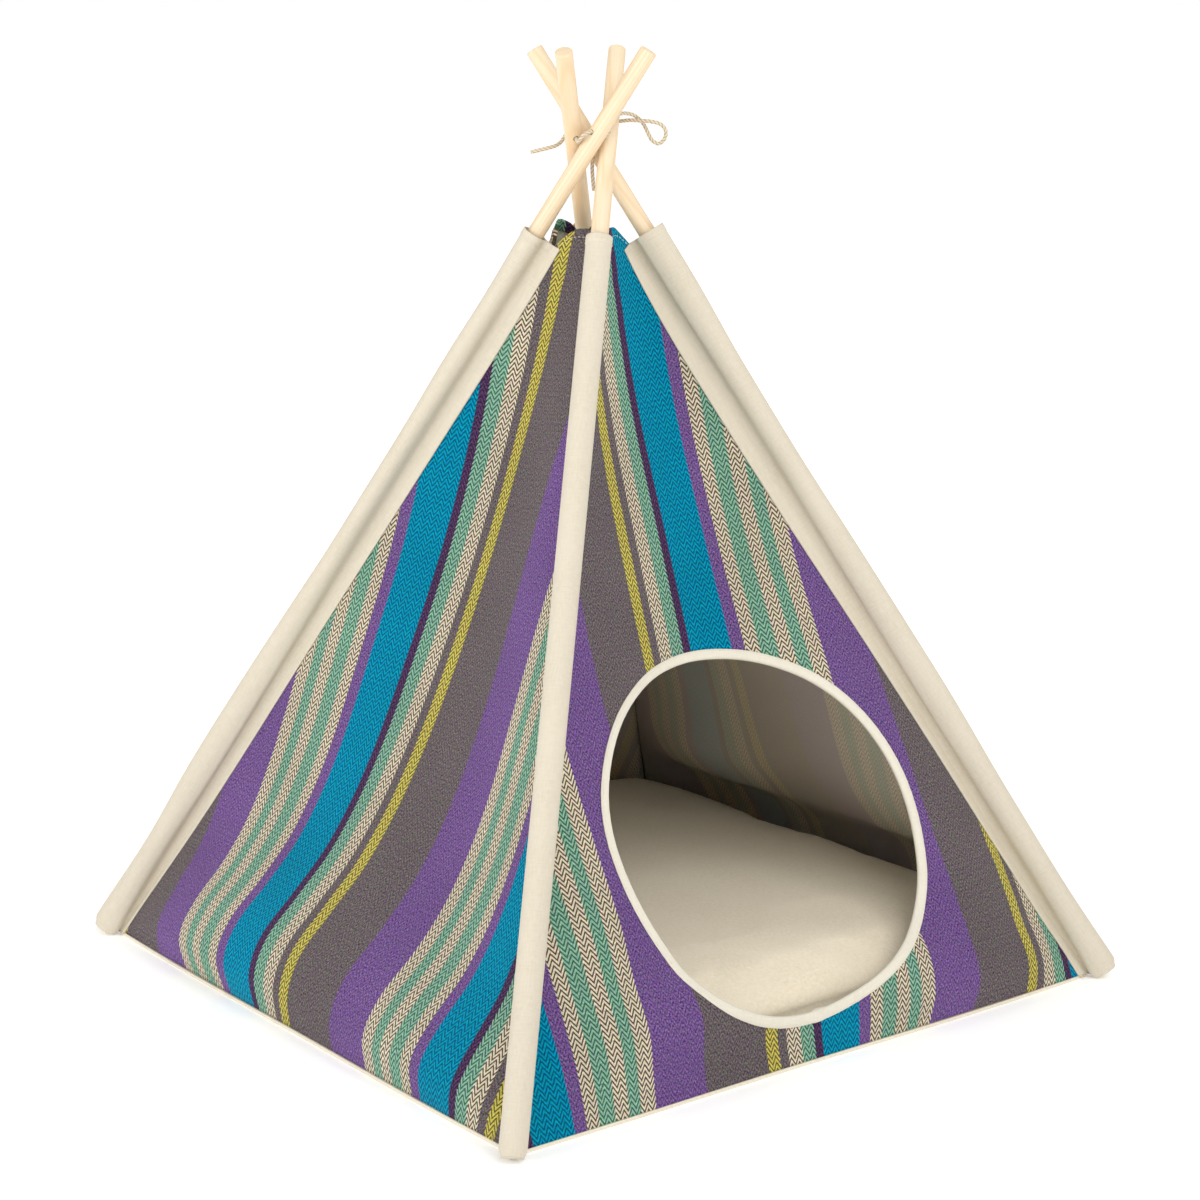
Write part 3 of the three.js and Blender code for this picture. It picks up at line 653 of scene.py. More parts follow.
# %% Measures of the walls' cloth
SIDE_MARGIN = 0.8 * MM
CLOTH_HALF = 0.65 * MM
HEM_WIDTH = 7.5 * MM
HEM_EXTRA = 1.2 * MM
HEM_STEP = 0.7 * MM
# The share of the hem's extra thickness that stands out on the right side
HEM_OUTSIDE = 0.25
RIPPLE_HEIGHT = 0.45 * MM
RIPPLE_REACH = 16 * MM
# Lengths of the ripples beside the left seam and the right one, and of the finer ones on them
RIPPLE_LENGTHS = (31 * MM, 26 * MM)
FINE_RIPPLE_HEIGHT = 0.6
FINE_RIPPLE_LENGTH = 0.43
# Each wall's ripples start a little later than those of the wall before
RIPPLE_PHASE = 1.7
UNDER_SLEEVE = 8 * MM
PLAIN_COLUMNS = 110
PLAIN_ROWS = 96
# Rows of points near the top edge, where the hem's step and its fold need them
HEM_ROWS = MM * np.array([9.5, 8.4, 7.9, 7.4, 6.9, 6.4, 4, 1.6, 0.6, 0.15, 0])
# How the distance across maps to the stripes: the sign, the stripes' place at the middle, and how
# far they lean for each metre up
WALLS = {
    "panel_door": (LEFT, DOOR_WALL, -1, -54.1 * MM, 0.0),
    "panel_right": (FRONT, RIGHT_WALL, -1, 20.1 * MM, -0.061),
    "panel_back": (RIGHT, BACK_WALL, 1, -45.4 * MM, 0.0),
    "panel_left": (BACK, LEFT_WALL, 1, 0.0, 0.0),
}
print("wall turns:", {name: wall[0] for name, wall in WALLS.items()})

# %% A wall from a grid of places
def smooth_step(value):
    """From 0 to 1 with soft ends."""
    value = np.clip(value, 0, 1)
    return value * value * (3 - 2 * value)


def ripples(across, height, phase):
    """Small waves that die away from the two seams."""
    width = wall_width(height)
    total = 0
    for side, length in zip((across, 1 - across), RIPPLE_LENGTHS):
        turns = 2 * math.pi * height / length
        wave = np.sin(turns + phase) + FINE_RIPPLE_HEIGHT * np.sin(turns / FINE_RIPPLE_LENGTH)
        free = side * width - UNDER_SLEEVE
        total = total + wave * smooth_step(free / RIPPLE_REACH) * np.exp(-free / RIPPLE_REACH)
    return RIPPLE_HEIGHT * total


def cloth_layers(name, across, height):
    """A wall's face and wrong side, before it is turned to its place, and where its hem is."""
    quarter_turn, table = WALLS[name][:2]
    from_top = np.maximum(wall_top(across) - height, 0) * WALL_SLANT
    hem = smooth_step((HEM_WIDTH + HEM_STEP - from_top) / HEM_STEP)
    puckers = ripples(across, height, RIPPLE_PHASE * quarter_turn)
    face = wall_point(table, across, height, puckers + CLOTH_HALF + HEM_OUTSIDE * HEM_EXTRA * hem)
    wrong = wall_point(table, across, height, puckers - CLOTH_HALF - (1 - HEM_OUTSIDE) * HEM_EXTRA * hem)
    return face, wrong, hem


def point_outwards(piece, sample=None, outwards=None):
    """Faces turned to point out. An open mesh also needs one face and the way that is out for it."""
    mesh = bmesh.new()
    mesh.from_mesh(piece.data)
    bmesh.ops.recalc_face_normals(mesh, faces=mesh.faces)
    mesh.faces.ensure_lookup_table()
    if sample is not None and mesh.faces[sample].normal.dot(outwards) < 0:
        bmesh.ops.reverse_faces(mesh, faces=mesh.faces)
    mesh.to_mesh(piece.data)
    mesh.free()


def cloth_sheet(name, across, height, ring):
    """One wall from a grid of places, with its free edges closed."""
    quarter_turn, _, sign, middle, lean = WALLS[name]
    face, wrong, hem = cloth_layers(name, across, height)
    rows, columns = across.shape
    count = rows * columns
    points = turned(np.vstack([face.reshape(-1, 3), wrong.reshape(-1, 3)]), quarter_turn)
    faces = grid_faces(rows, columns, ring)
    number = np.arange(count).reshape(rows, columns)
    edges = [number[0], number[-1]] if ring else [number[0], number[-1], number[:, 0], number[:, -1]]
    rims = []
    for edge in edges:
        chain = np.append(edge, edge[0]) if ring else edge
        rims.append(np.stack([chain[:-1], chain[1:], chain[1:] + count, chain[:-1] + count], axis=-1))
    all_faces = np.vstack([faces, faces[:, ::-1] + count, *rims])
    stripes_at = middle + lean * height + sign * (across - 0.5) * wall_width(height)
    cloth_uv = np.stack([stripes_at, height * WALL_SLANT], axis=-1).reshape(-1, 2)
    wall = new_piece(name + "_cloth", points, all_faces, np.vstack([cloth_uv, cloth_uv]))
    wall.data.materials.append(right_side_cloth)
    wall.data.materials.append(wrong_side_cloth)
    # The hem is folded in, so inside it shows the right side of the cloth
    finish = np.zeros(len(all_faces), np.int32)
    hemmed = hem.ravel()[faces].min(axis=1) > 0.5
    finish[len(faces):2 * len(faces)] = np.where(hemmed, 0, 1)
    wall.data.polygons.foreach_set("material_index", finish)
    point_outwards(wall)
    return wall


hem_thickness = 2 * CLOTH_HALF + HEM_EXTRA
print("hem:", round(HEM_WIDTH / MM, 1), "mm wide and", round(hem_thickness / MM, 1), "mm thick")

# %% The three plain walls
def plain_wall(name):
    """A wall without a doorway, as rows of points from its lower edge to its hem."""
    share = np.linspace(0, 1, PLAIN_COLUMNS)
    hem_rows = WALL_TOP - HEM_ROWS
    body_rows = np.linspace(WALL_BOTTOM, hem_rows[0], PLAIN_ROWS, endpoint=False)
    row_share = (np.concatenate([body_rows, hem_rows]) - WALL_BOTTOM) / (WALL_TOP - WALL_BOTTOM)
    height = WALL_BOTTOM + row_share[:, None] * (wall_top(share)[None, :] - WALL_BOTTOM)
    margin = SIDE_MARGIN / wall_width(height)
    return cloth_sheet(name, margin + share * (1 - 2 * margin), height, ring=False)


walls = {name: plain_wall(name) for name in ("panel_left", "panel_right", "panel_back")}
print("plain walls:", {name: len(wall.data.polygons) for name, wall in walls.items()})

# %% The doorway wall
DOOR_CUT_RADIUS = 123.8 * MM
DOOR_CENTRE_UP = 150 * MM
DOOR_RAYS = 300
DOOR_RINGS = 64
# Rings lie closer together near the cut edge by the first power. The second is about its inverse,
# and leaves the last ring where it belongs
RING_CROWDING = 1.15
RING_EVENING = 0.87
# The doorway isn't quite round: a direction in degrees, and how far its edge lies off the circle
DOOR_EDGE = np.array([
    [0, -3.1], [20, -3.4], [40, -2.7], [60, -1.7], [75, 0.4], [90, 1.9], [105, 1.8], [120, 2.2],
    [135, 4.2], [150, 5.5], [162, 5.9], [180, 3.9], [195, 2.9], [208, 0.2], [219, 1.0], [230, 3.0],
    [242, 1.0], [255, -1.6], [270, -4.4], [283, -5.6], [300, -4.0], [320, -0.6], [332, -0.8],
    [345, -2.4], [360, -3.1],
]) * [math.pi / 180, MM]
# More rays run to the narrow top edge
NECK_HALF_ANGLE = math.radians(4)
NECK_RAYS = 27
HALVINGS = 40


def door_edge(angle):
    """How far the doorway's edge lies off the circle in a direction."""
    return smooth_column(DOOR_EDGE, 1, np.asarray(angle) % (2 * math.pi))


def outline_distance(angle):
    """Distances from the doorway's middle to the wall's outline, by halving the error."""
    near = np.full(angle.shape, DOOR_CUT_RADIUS)
    far = np.full(angle.shape, WALL_TOP * WALL_SLANT)
    for _ in range(HALVINGS):
        middle = (near + far) / 2
        x, y = middle * np.cos(angle), DOOR_CENTRE_UP + middle * np.sin(angle)
        height = y / WALL_SLANT
        half_width = wall_width(np.minimum(height, WALL_TOP)) / 2
        across = 0.5 + x / (2 * half_width)
        inside = (height >= WALL_BOTTOM) & (np.abs(x) <= half_width - SIDE_MARGIN)
        inside &= height <= wall_top(across)
        near, far = np.where(inside, middle, near), np.where(inside, far, middle)
    return near


def door_angles():
    """Even directions from the doorway's middle, moved to the wall's corners where they are near."""
    angles = np.linspace(-math.pi, math.pi, DOOR_RAYS, endpoint=False)
    for height in (WALL_BOTTOM, WALL_TOP - WALL_TOP_DIP):
        for side in (1, -1):
            x = side * (wall_width(height) / 2 - SIDE_MARGIN)
            corner = math.atan2(height * WALL_SLANT - DOOR_CENTRE_UP, x)
            angles[np.argmin(np.abs(angles - corner))] = corner
    neck = math.pi / 2 + np.linspace(-NECK_HALF_ANGLE, NECK_HALF_ANGLE, NECK_RAYS)
    return np.unique(np.concatenate([angles, neck]))


def door_place(radius, angle):
    """Across and height on the wall for a place measured from the doorway's middle on flat cloth."""
    x, y = radius * np.cos(angle), DOOR_CENTRE_UP + radius * np.sin(angle)
    height = y / WALL_SLANT
    return 0.5 + x / wall_width(height), height


def door_wall():
    """The doorway wall, in rings from the cut edge to its outline."""
    angle = door_angles()
    reach = outline_distance(angle)
    to_top = WALL_TOP * WALL_SLANT - DOOR_CENTRE_UP - DOOR_CUT_RADIUS
    near_edge = 1 - HEM_ROWS / to_top
    rings = np.linspace(0, near_edge[0] ** RING_EVENING, DOOR_RINGS) ** RING_CROWDING
    share = np.concatenate([rings, near_edge[1:]])
    cut = DOOR_CUT_RADIUS + door_edge(angle)
    radius = cut + share[:, None] * (reach - cut)
    across, height = door_place(radius, angle[None, :])
    return cloth_sheet("panel_door", across, height, ring=True)


walls["panel_door"] = door_wall()
print("doorway wall:", len(walls["panel_door"].data.polygons), "faces")

# %% [markdown]
# ## Wood for the poles
#
# The poles are dowels turned from pale softwood and sanded. Softwood shows fine growth lines
# along the dowel and rings on its sawn end, both from the same thing: the tree's rings cut at
# different angles. So the pattern is a solid one, read from each point's place inside the
# dowel, and not a picture wrapped round it. A vertex attribute carries that place, because the
# finished poles lean.

# %% The wood
RING_SPACING = 0.9 * MM
# Along the dowel the pattern changes at this share of its rate across
GRAIN_STRETCH = 0.035
# How far the rings wander, and where the tree's pith lay beside the dowel
RING_WANDER = 1.6 * MM
PITH_PLACE = (30 * MM, 11 * MM, 0.0)
# Wood fibres to the millimetre, across the dowel and along it, drawn coarser than they are
WOOD_FIBRES_PER_MM = (2.6, 2.6, 0.04)


def softwood():
    """Sanded pale pine: satin, with soft growth lines a few tones darker and a warm cast."""
    material, tree, shader = new_material(
        "sanded softwood dowel", Roughness=0.5, Specular_IOR_Level=0.35)
    place = add_node(tree, "ShaderNodeAttribute", attribute_name="in_dowel").outputs["Vector"]
    stretch = add_node(tree, "ShaderNodeVectorMath", [place, (1.0, 1.0, GRAIN_STRETCH)],
                       operation="MULTIPLY")
    bend = add_node(tree, "ShaderNodeTexNoise", {"Vector": stretch, "Scale": 90.0, "Detail": 1.0})
    shift = add_node(tree, "ShaderNodeVectorMath", [bend.outputs["Color"], (RING_WANDER, RING_WANDER, 0.0)],
                     operation="MULTIPLY")
    bent = add_node(tree, "ShaderNodeVectorMath", [stretch, shift], operation="ADD")
    from_pith = add_node(tree, "ShaderNodeVectorMath", [bent, PITH_PLACE], operation="ADD")
    distance = add_node(tree, "ShaderNodeVectorMath", [from_pith], operation="LENGTH")
    rings = add_node(tree, "ShaderNodeMath", [distance.outputs["Value"], RING_SPACING], operation="DIVIDE")
    ring = add_node(tree, "ShaderNodeMath", [rings, 1.0], operation="PINGPONG")
    late = add_node(tree, "ShaderNodeMapRange", {
        "Value": ring, "From Min": 0.45, "From Max": 1.0, "To Min": 0.0, "To Max": 0.45},
        interpolation_type="SMOOTHSTEP")
    wood = add_node(tree, "ShaderNodeMix", {"Factor": late, 6: linear("#e8d6b8"), 7: linear("#ddc094")},
                    data_type="RGBA")
    warm_share = add_node(tree, "ShaderNodeMapRange", {
        "Value": bend, "From Min": 0.4, "From Max": 0.75, "To Min": 0.0, "To Max": 0.55})
    warm = add_node(tree, "ShaderNodeMix", {"Factor": warm_share, 6: wood.outputs[2], 7: linear("#ecc08c")},
                    data_type="RGBA")
    per_metre = tuple(count / MM for count in WOOD_FIBRES_PER_MM)
    fibre_place = add_node(tree, "ShaderNodeVectorMath", [place, per_metre], operation="MULTIPLY")
    fibres = add_node(tree, "ShaderNodeTexNoise", {"Vector": fibre_place, "Scale": 1.0, "Detail": 3.0})
    fibre_tone = add_node(tree, "ShaderNodeMapRange", {
        "Value": fibres, "From Min": 0.3, "From Max": 0.7, "To Min": 0.94, "To Max": 1.04})
    colour = add_node(tree, "ShaderNodeVectorMath", {0: warm.outputs[2], "Scale": fibre_tone},
                      operation="SCALE")
    tree.links.new(colour.outputs[0], shader.inputs["Base Color"])
    bump = add_node(tree, "ShaderNodeBump", {"Height": fibres, "Strength": 0.25, "Distance": 0.12 * MM})
    tree.links.new(bump.outputs[0], shader.inputs["Normal"])
    return material


softwood_finish = softwood()
print("wood:", softwood_finish.name)

# %% The dowels
POLE_DIAMETER = 12 * MM
POLE_LENGTH = 750 * MM
POLE_END_ROUND = 1.3 * MM
POLE_SIDES = 48
HOLE_DIAMETER = 3.8 * MM
HOLE_SIDES = 32
HOLE_FROM_TOP = 66 * MM
HOLE_FACING = [50, -12, 50, 26]
SHAFT_STEP = 20 * MM
# Dowels take their grain from places this many metres apart, so that no two are alike
GRAIN_APART = 1.3
SHARP_EDGE = math.radians(32)


def in_corner(local, corner):
    """Points given along a pole as out, side and along, turned to their corner of the tent."""
    local = np.asarray(local, float)
    return turned(FOOT + local @ np.array([POLE_OUT, POLE_SIDE, UP_POLE]), corner)


def dowel_profile(hole_at):
    """Radius and distance from the foot, from one eased end to the other, with rings near the hole."""
    radius, top = POLE_DIAMETER / 2, POLE_LENGTH
    foot_end = [(radius - POLE_END_ROUND + POLE_END_ROUND * math.cos(bend),
                 POLE_END_ROUND * (1 - math.sin(bend))) for bend in np.radians([90, 65, 40, 18, 0])]
    even = np.arange(SHAFT_STEP / 2, hole_at - SHAFT_STEP / 2, SHAFT_STEP)
    beside_hole = hole_at + MM * np.array([-9, -5, -3, 3, 5, 9])
    shaft = [(radius, along) for along in [*even, *beside_hole, top - 30 * MM]]
    return foot_end + shaft + [(r, top - along) for r, along in reversed(foot_end)]


def make_dowel(corner):
    """A dowel with eased ends and the hole for the tie."""
    hole_at = POLE_LENGTH - HOLE_FROM_TOP
    profile = dowel_profile(hole_at)
    angle = np.linspace(0, 2 * math.pi, POLE_SIDES, endpoint=False)
    points = [(r * math.cos(a), r * math.sin(a), along) for r, along in profile for a in angle]
    last = (len(profile) - 1) * POLE_SIDES
    faces = grid_faces(len(profile), POLE_SIDES, ring=True).tolist()
    faces.append(list(range(POLE_SIDES))[::-1])
    faces.append(list(range(last, last + POLE_SIDES)))
    dowel = new_piece(f"dowel_{CORNER_NAMES[corner]}", points, faces)

    bpy.ops.mesh.primitive_cylinder_add(
        vertices=HOLE_SIDES, radius=HOLE_DIAMETER / 2, depth=2 * POLE_DIAMETER)
    drill = bpy.context.object
    facing = Matrix.Rotation(math.radians(HOLE_FACING[corner]), 4, "Z")
    drill.data.transform(Matrix.Translation((0, 0, hole_at)) @ facing @ Matrix.Rotation(math.pi / 2, 4, "Y"))
    cut = dowel.modifiers.new("Tie hole", "BOOLEAN")
    cut.object = drill
    cut.operation = "DIFFERENCE"
    dowel = finished(dowel)
    bpy.data.objects.remove(drill)

    local = mesh_points(dowel.data)
    place = dowel.data.attributes.new("in_dowel", "FLOAT_VECTOR", "POINT")
    place.data.foreach_set("vector", (local + [0, 0, GRAIN_APART * corner]).astype(np.float32).ravel())
    move_points(dowel.data, in_corner(local, corner))
    dowel.data.shade_smooth()
    dowel.data.set_sharp_from_angle(angle=SHARP_EDGE)
    dowel.data.materials.clear()
    dowel.data.materials.append(softwood_finish)
    return dowel


dowels = [make_dowel(corner) for corner in range(4)]
print("dowel faces:", [len(dowel.data.polygons) for dowel in dowels])

# %% [markdown]
# ## Canvas
#
# Sleeves, doorway binding, floor cloth and cushion are plain cotton canvas in slightly different
# creams. Its threads are half a millimetre apart, too fine to show from here, so what the eye
# gets is their unevenness: faint slubs along both thread directions, drawn two or three times
# as coarse as they are. Pieces that are strips take the threads from their UV map. The floor
# cloth and the cushion take them from their place in space: the floor lies flat anyway, and the
# cushion's mesh comes from a simulation.

# %% The canvas materials
CANVAS_THREAD = 1.1 * MM


def canvas(name, colour, slub_colour, uv_map, bump_depth, thread=CANVAS_THREAD, sheen=0.08, streak=0.16):
    """Plain woven cotton: matt and even, with faint slubs along its threads."""
    material, tree, shader = new_material(
        name, Roughness=0.92, Specular_IOR_Level=0.2, Sheen_Weight=sheen, Sheen_Roughness=0.5)
    if uv_map:
        place = add_node(tree, "ShaderNodeUVMap", uv_map=uv_map)
    else:
        place = add_node(tree, "ShaderNodeTexCoord").outputs["Object"]
    heights = []
    fine, long = 1 / thread, streak / thread
    for stretch in ((fine, long, long), (long, fine, fine)):
        laid = add_node(tree, "ShaderNodeVectorMath", [place, stretch], operation="MULTIPLY")
        heights.append(add_node(tree, "ShaderNodeTexNoise", {"Vector": laid, "Scale": 1.0, "Detail": 3.0}))
    slubs = add_node(tree, "ShaderNodeMath", heights, operation="ADD")
    tone = add_node(tree, "ShaderNodeMapRange", {
        "Value": slubs, "From Min": 0.7, "From Max": 1.35, "To Min": 0.0, "To Max": 1.0})
    slow = add_node(tree, "ShaderNodeTexNoise", {"Vector": place, "Scale": 22.0, "Detail": 3.0})
    share = add_node(tree, "ShaderNodeMath", [tone, slow], operation="MULTIPLY")
    mixed = add_node(tree, "ShaderNodeMix", {"Factor": share, 6: linear(colour), 7: linear(slub_colour)},
                     data_type="RGBA")
    tree.links.new(mixed.outputs[2], shader.inputs["Base Color"])
    bump = add_node(tree, "ShaderNodeBump", {"Height": slubs, "Strength": 0.5, "Distance": bump_depth})
    tree.links.new(bump.outputs[0], shader.inputs["Normal"])
    return material


sleeve_canvas = canvas("cream cotton canvas", "#d7cebc", "#c6bba6", "cloth", 0.12 * MM)
binding_canvas = canvas("bright cream binding tape", "#e4decf", "#d6cebb", "cloth", 0.10 * MM)
floor_canvas = canvas("cream floor canvas", "#f1e8d6", "#e0d3bb", None, 0.12 * MM)
cushion_canvas = canvas("brushed cushion canvas", "#f5ead4", "#e2d3b6", None, 0.5 * MM,
                        thread=1.6 * MM, sheen=0.25, streak=0.6)
print("canvas:", [finish.name for finish in (sleeve_canvas, binding_canvas, floor_canvas, cushion_canvas)])

# %% [markdown]
# ## Pole sleeves
#
# A sleeve is a strip of canvas folded round its pole and sewn into the wall seam, so in section
# it is a loop that pinches in behind the pole and then runs as two layers to the seam, where
# each layer turns a little way along its wall. The section is a smooth line through a few
# points, drawn again every few millimetres up the pole, with slow changes in its slack. The open
# top is hemmed, the foot is sewn shut. A Solidify modifier gives the canvas its thickness.

# %% Measures of the sleeves
SLEEVE_TOP = 605 * MM
SLEEVE_FOOT = -4.9 * MM
CANVAS_THICKNESS = 0.9 * MM
SLEEVE_HEM = 6 * MM
SLEEVE_HEM_EXTRA = 0.35 * MM
SLEEVE_FOOT_REACH = 6 * MM
SECTION_POINTS = 81
SECTION_MIDDLE = SECTION_POINTS // 2
SLEEVE_SLACK = 0.45 * MM
FLOOR_GAP = 1.1 * MM
# How far each sleeve's edges lie over the two walls beside it, as seen from outside: the wall to
# the right of the pole, and the wall to its left
SLEEVE_OVERLAP = MM * np.array([[6, 5], [1.8, 2.8], [5, 9.5], [5, 5]])
# Places across that edge, from the seam outwards, and how far each stands off the cloth
EDGE_SHARES = np.array([0.12, 0.5, 0.9, 1.0])
EDGE_LIFTS = MM * np.array([1.1, 1.1, 1.1, 0.9])
# A step square to the seam goes this far across the wall and this far down
EDGE_ACROSS, EDGE_DOWN = 0.925, 0.347
EDGE_LOWEST = 1.6 * MM
# How loose each sleeve is on the outside of its pole: distance up the pole, then left, front,
# right and back
SLEEVE_LOOSE = MM * np.array([
    [0, 2.5, -1.2, 2.5, 1], [70, 0, 0, 0.2, 0], [140, 2.6, 0.5, 0.7, 1], [210, 2.1, 0, 2.5, 0],
    [280, 1.2, 0.4, 1.6, -0.6], [350, -1, -0.3, 1.1, 0.6], [425, -1.5, 0, -0.5, 0], [495, -0.6, 0.4, 0.6, 1],
    [550, -1.5, 0, 2.8, 0], [605, 0, 0, 3, 0.5],
])
print("sleeves reach", round(SLEEVE_TOP / MM), "mm up their poles")

# %% The section of a sleeve
def seam_height(along):
    """Height of the wall seam beside a place along its pole."""
    return FOOT[2] + UP_POLE[2] * along + (CORNER_OUT @ UP_POLE) * UP_POLE[2] * SEAM_OFFSET


def over_wall(corner, side, along):
    """Where a sleeve's edge lies on the wall at one side of its pole, from the seam outwards."""
    quarter_turn = (corner - FRONT if side > 0 else corner - RIGHT) % 4
    table = next(wall[1] for wall in WALLS.values() if wall[0] == quarter_turn)
    away = EDGE_SHARES * SLEEVE_OVERLAP[corner][0 if side > 0 else 1]
    lift = CLOTH_HALF + EDGE_LIFTS
    seam = max(seam_height(along), 2 * MM)
    height = np.maximum(seam - EDGE_DOWN * away, EDGE_LOWEST)
    width = wall_width(height)
    across = ((width - wall_width(seam)) / 2 + EDGE_ACROSS * away) / width
    if side < 0:
        across = 1 - across
    return turned(wall_point(table, across, height, lift), quarter_turn)


def sleeve_section(corner, along):
    """The outside of a sleeve across its pole, from one wall round the pole to the other wall."""
    opened = smooth_step((along - SLEEVE_FOOT) / SLEEVE_FOOT_REACH)
    slack = SLEEVE_SLACK * (math.sin(along / (27 * MM) + 2 * corner) + math.sin(along / (61 * MM) + corner))
    loose = smooth_column(SLEEVE_LOOSE, corner + 1, along)
    hem = SLEEVE_HEM_EXTRA * smooth_step((along - SLEEVE_TOP + SLEEVE_HEM) / (0.8 * MM))
    radius = 7.3 * MM + 1.5 * MM * opened + hem
    out = radius + 0.3 * MM + 0.6 * slack * opened + loose
    reach = seam_offset(max(seam_height(along), 0)) * UP_POLE[2]
    pinch = 2.1 * MM + 0.25 * slack + hem
    # One half, as out and sideways: round the pole, the pinch behind it, the layer to the seam
    half = [(out * math.cos(a), radius * math.sin(a)) for a in np.radians([0, 28, 56, 84, 108, 128])]
    half += [(-8.9 * MM, pinch), (-0.62 * reach - 2.2 * MM, 1.6 * MM + hem),
             (-reach + 2.4 * MM, 1.7 * MM + hem)]
    half = np.array(half)
    half[:, 0] *= 0.93 + 0.07 * opened
    loop = np.vstack([half[:0:-1] * [1, -1], half])
    loop = in_corner(np.column_stack([loop, np.full(len(loop), along)]), corner)
    whole = np.vstack([over_wall(corner, -1, along)[::-1], loop, over_wall(corner, 1, along)])
    whole[:, 2] = np.maximum(whole[:, 2], FLOOR_GAP)
    return smooth_line(whole, count=SECTION_POINTS)


print("a sleeve's section has", SECTION_POINTS, "points")

# %% Fold the sleeves
def make_sleeve(corner):
    """A folded canvas strip with a hemmed top, an end sewn shut and its real thickness."""
    body = np.linspace(6 * MM, SLEEVE_TOP - 9 * MM, 104)
    foot_rows = MM * np.array([-4.9, -4.2, -3, -1.5, 0.5, 3])
    hem_rows = SLEEVE_TOP - MM * np.array([7.4, 6.6, 6.2, 5.8, 5.4, 3, 1, 0])
    alongs = np.concatenate([foot_rows, body, hem_rows])
    rows = np.array([sleeve_section(corner, along) for along in alongs])
    steps = np.linalg.norm(np.diff(rows, axis=1), axis=2)
    across = np.concatenate([np.zeros((len(rows), 1)), np.cumsum(steps, axis=1)], axis=1)
    across -= across[:, SECTION_MIDDLE][:, None]
    cloth_uv = np.stack([across, np.broadcast_to(alongs[:, None], across.shape)], axis=-1)
    faces = grid_faces(len(rows), SECTION_POINTS).tolist()
    # The foot: each point of its lowest section is joined to the one opposite
    for i in range(SECTION_MIDDLE):
        mirror = SECTION_POINTS - 1 - i
        corners = [i, i + 1, mirror - 1, mirror]
        faces.append(corners if mirror - 1 != i + 1 else [i, i + 1, mirror])
    sleeve = new_piece(f"sleeve_{CORNER_NAMES[corner]}_canvas", rows.reshape(-1, 3), faces,
                       cloth_uv.reshape(-1, 2))
    outwards = Vector(in_corner([(1, 0, 0)], corner)[0] - in_corner([(0, 0, 0)], corner)[0])
    in_front = SECTION_MIDDLE + 40 * (SECTION_POINTS - 1)
    point_outwards(sleeve, in_front, outwards)
    sleeve.data.materials.append(sleeve_canvas)
    thickness = sleeve.modifiers.new("Canvas thickness", "SOLIDIFY")
    thickness.thickness = CANVAS_THICKNESS
    thickness.offset = -1
    return finished(sleeve)


sleeves = [make_sleeve(corner) for corner in range(4)]
print("sleeve faces:", [len(sleeve.data.polygons) for sleeve in sleeves])

# %% [markdown]
# ## The doorway's binding
#
# The cut edge of the doorway is bound with a strip of bright canvas folded over it, which would
# fray otherwise. The strip is a rounded U in section, swept round the circle on the flat cloth
# and then laid on the wall's real shape. Its two ends overlap at the bottom, where the upper one
# stands a little proud.

# %% Fold the binding round the doorway
BINDING_POINTS = 420
LAP_ANGLE = math.radians(266)
LAP_LENGTH = math.radians(5.2)
LAP_RISE = 1.2 * MM
# How steeply the lap starts, and how softly it ends
LAP_START = math.radians(0.25)
LAP_END = math.radians(2.2)
# Half of the U, as distance from the doorway's middle and distance off the middle of the cloth
BINDING_HALF = MM * np.array([
    [124.2, 0.7], [128.5, 0.72], [128.75, 1.2], [128.45, 1.6], [127.5, 1.78], [125.6, 1.88],
    [123.9, 1.86], [122.8, 1.6], [122.1, 0.9],
])
BINDING_FOLD = MM * np.array([[121.9, 0]])
BINDING_PROUD = 1.88 * MM
# Inside this radius the strip is its fold, which the lap draws in
BINDING_FOLD_RADIUS = 123.5 * MM


def make_binding():
    """The folded strip as one closed loop."""
    angle = np.linspace(0, 2 * math.pi, BINDING_POINTS, endpoint=False)
    section = np.vstack([BINDING_HALF, BINDING_FOLD, BINDING_HALF[::-1] * [1, -1]])
    since_lap = (angle - LAP_ANGLE) % (2 * math.pi)
    lap = smooth_step(since_lap / LAP_START) * smooth_step((LAP_LENGTH - since_lap) / LAP_END)
    # Small puckers from the stitches, and an edge that wanders as a hand-fed strip does
    pucker = 0.10 * MM * np.sin(angle * 97) + 0.06 * MM * np.sin(angle * 61 + 1)
    wander = 0.3 * MM * np.sin(3 * angle + 1) + 0.22 * MM * np.sin(7 * angle)
    outer_share = np.clip(np.abs(section[:, 1]) / BINDING_PROUD, 0, 1)
    away = np.abs(section[:, 1]) + (lap * LAP_RISE + pucker)[:, None] * outer_share
    offset = np.sign(section[:, 1]) * away
    radius = section[:, 0] + (wander + door_edge(angle))[:, None]
    radius = radius - (0.5 * lap * LAP_RISE)[:, None] * (section[:, 0] < BINDING_FOLD_RADIUS)
    across, height = door_place(radius, angle[:, None])
    points = wall_point(DOOR_WALL, across, height, offset)
    run = np.concatenate([[0], np.cumsum(np.linalg.norm(np.diff(section, axis=0), axis=1))])
    cloth_uv = np.stack(np.broadcast_arrays(angle[:, None] * DOOR_CUT_RADIUS, run[None, :]), axis=-1)
    faces = grid_faces(BINDING_POINTS, len(section), ring=True, loop=True)
    binding = new_piece("doorway_binding", points.reshape(-1, 3), faces, cloth_uv.reshape(-1, 2))
    point_outwards(binding)
    binding.data.materials.append(binding_canvas)
    return binding


binding = make_binding()
print("binding:", len(binding.data.polygons), "faces")

# %% [markdown]
# ## Floor cloth
#
# The floor is a canvas square sewn to the lower edges of the walls, so its outline follows them,
# pushed out in the middle of each side by the cushion. Only its folded edge shows, as two round
# layers with a fine dark line where they meet. It is lofted from rings: along that edge section,
# and then inwards to the middle on both faces.

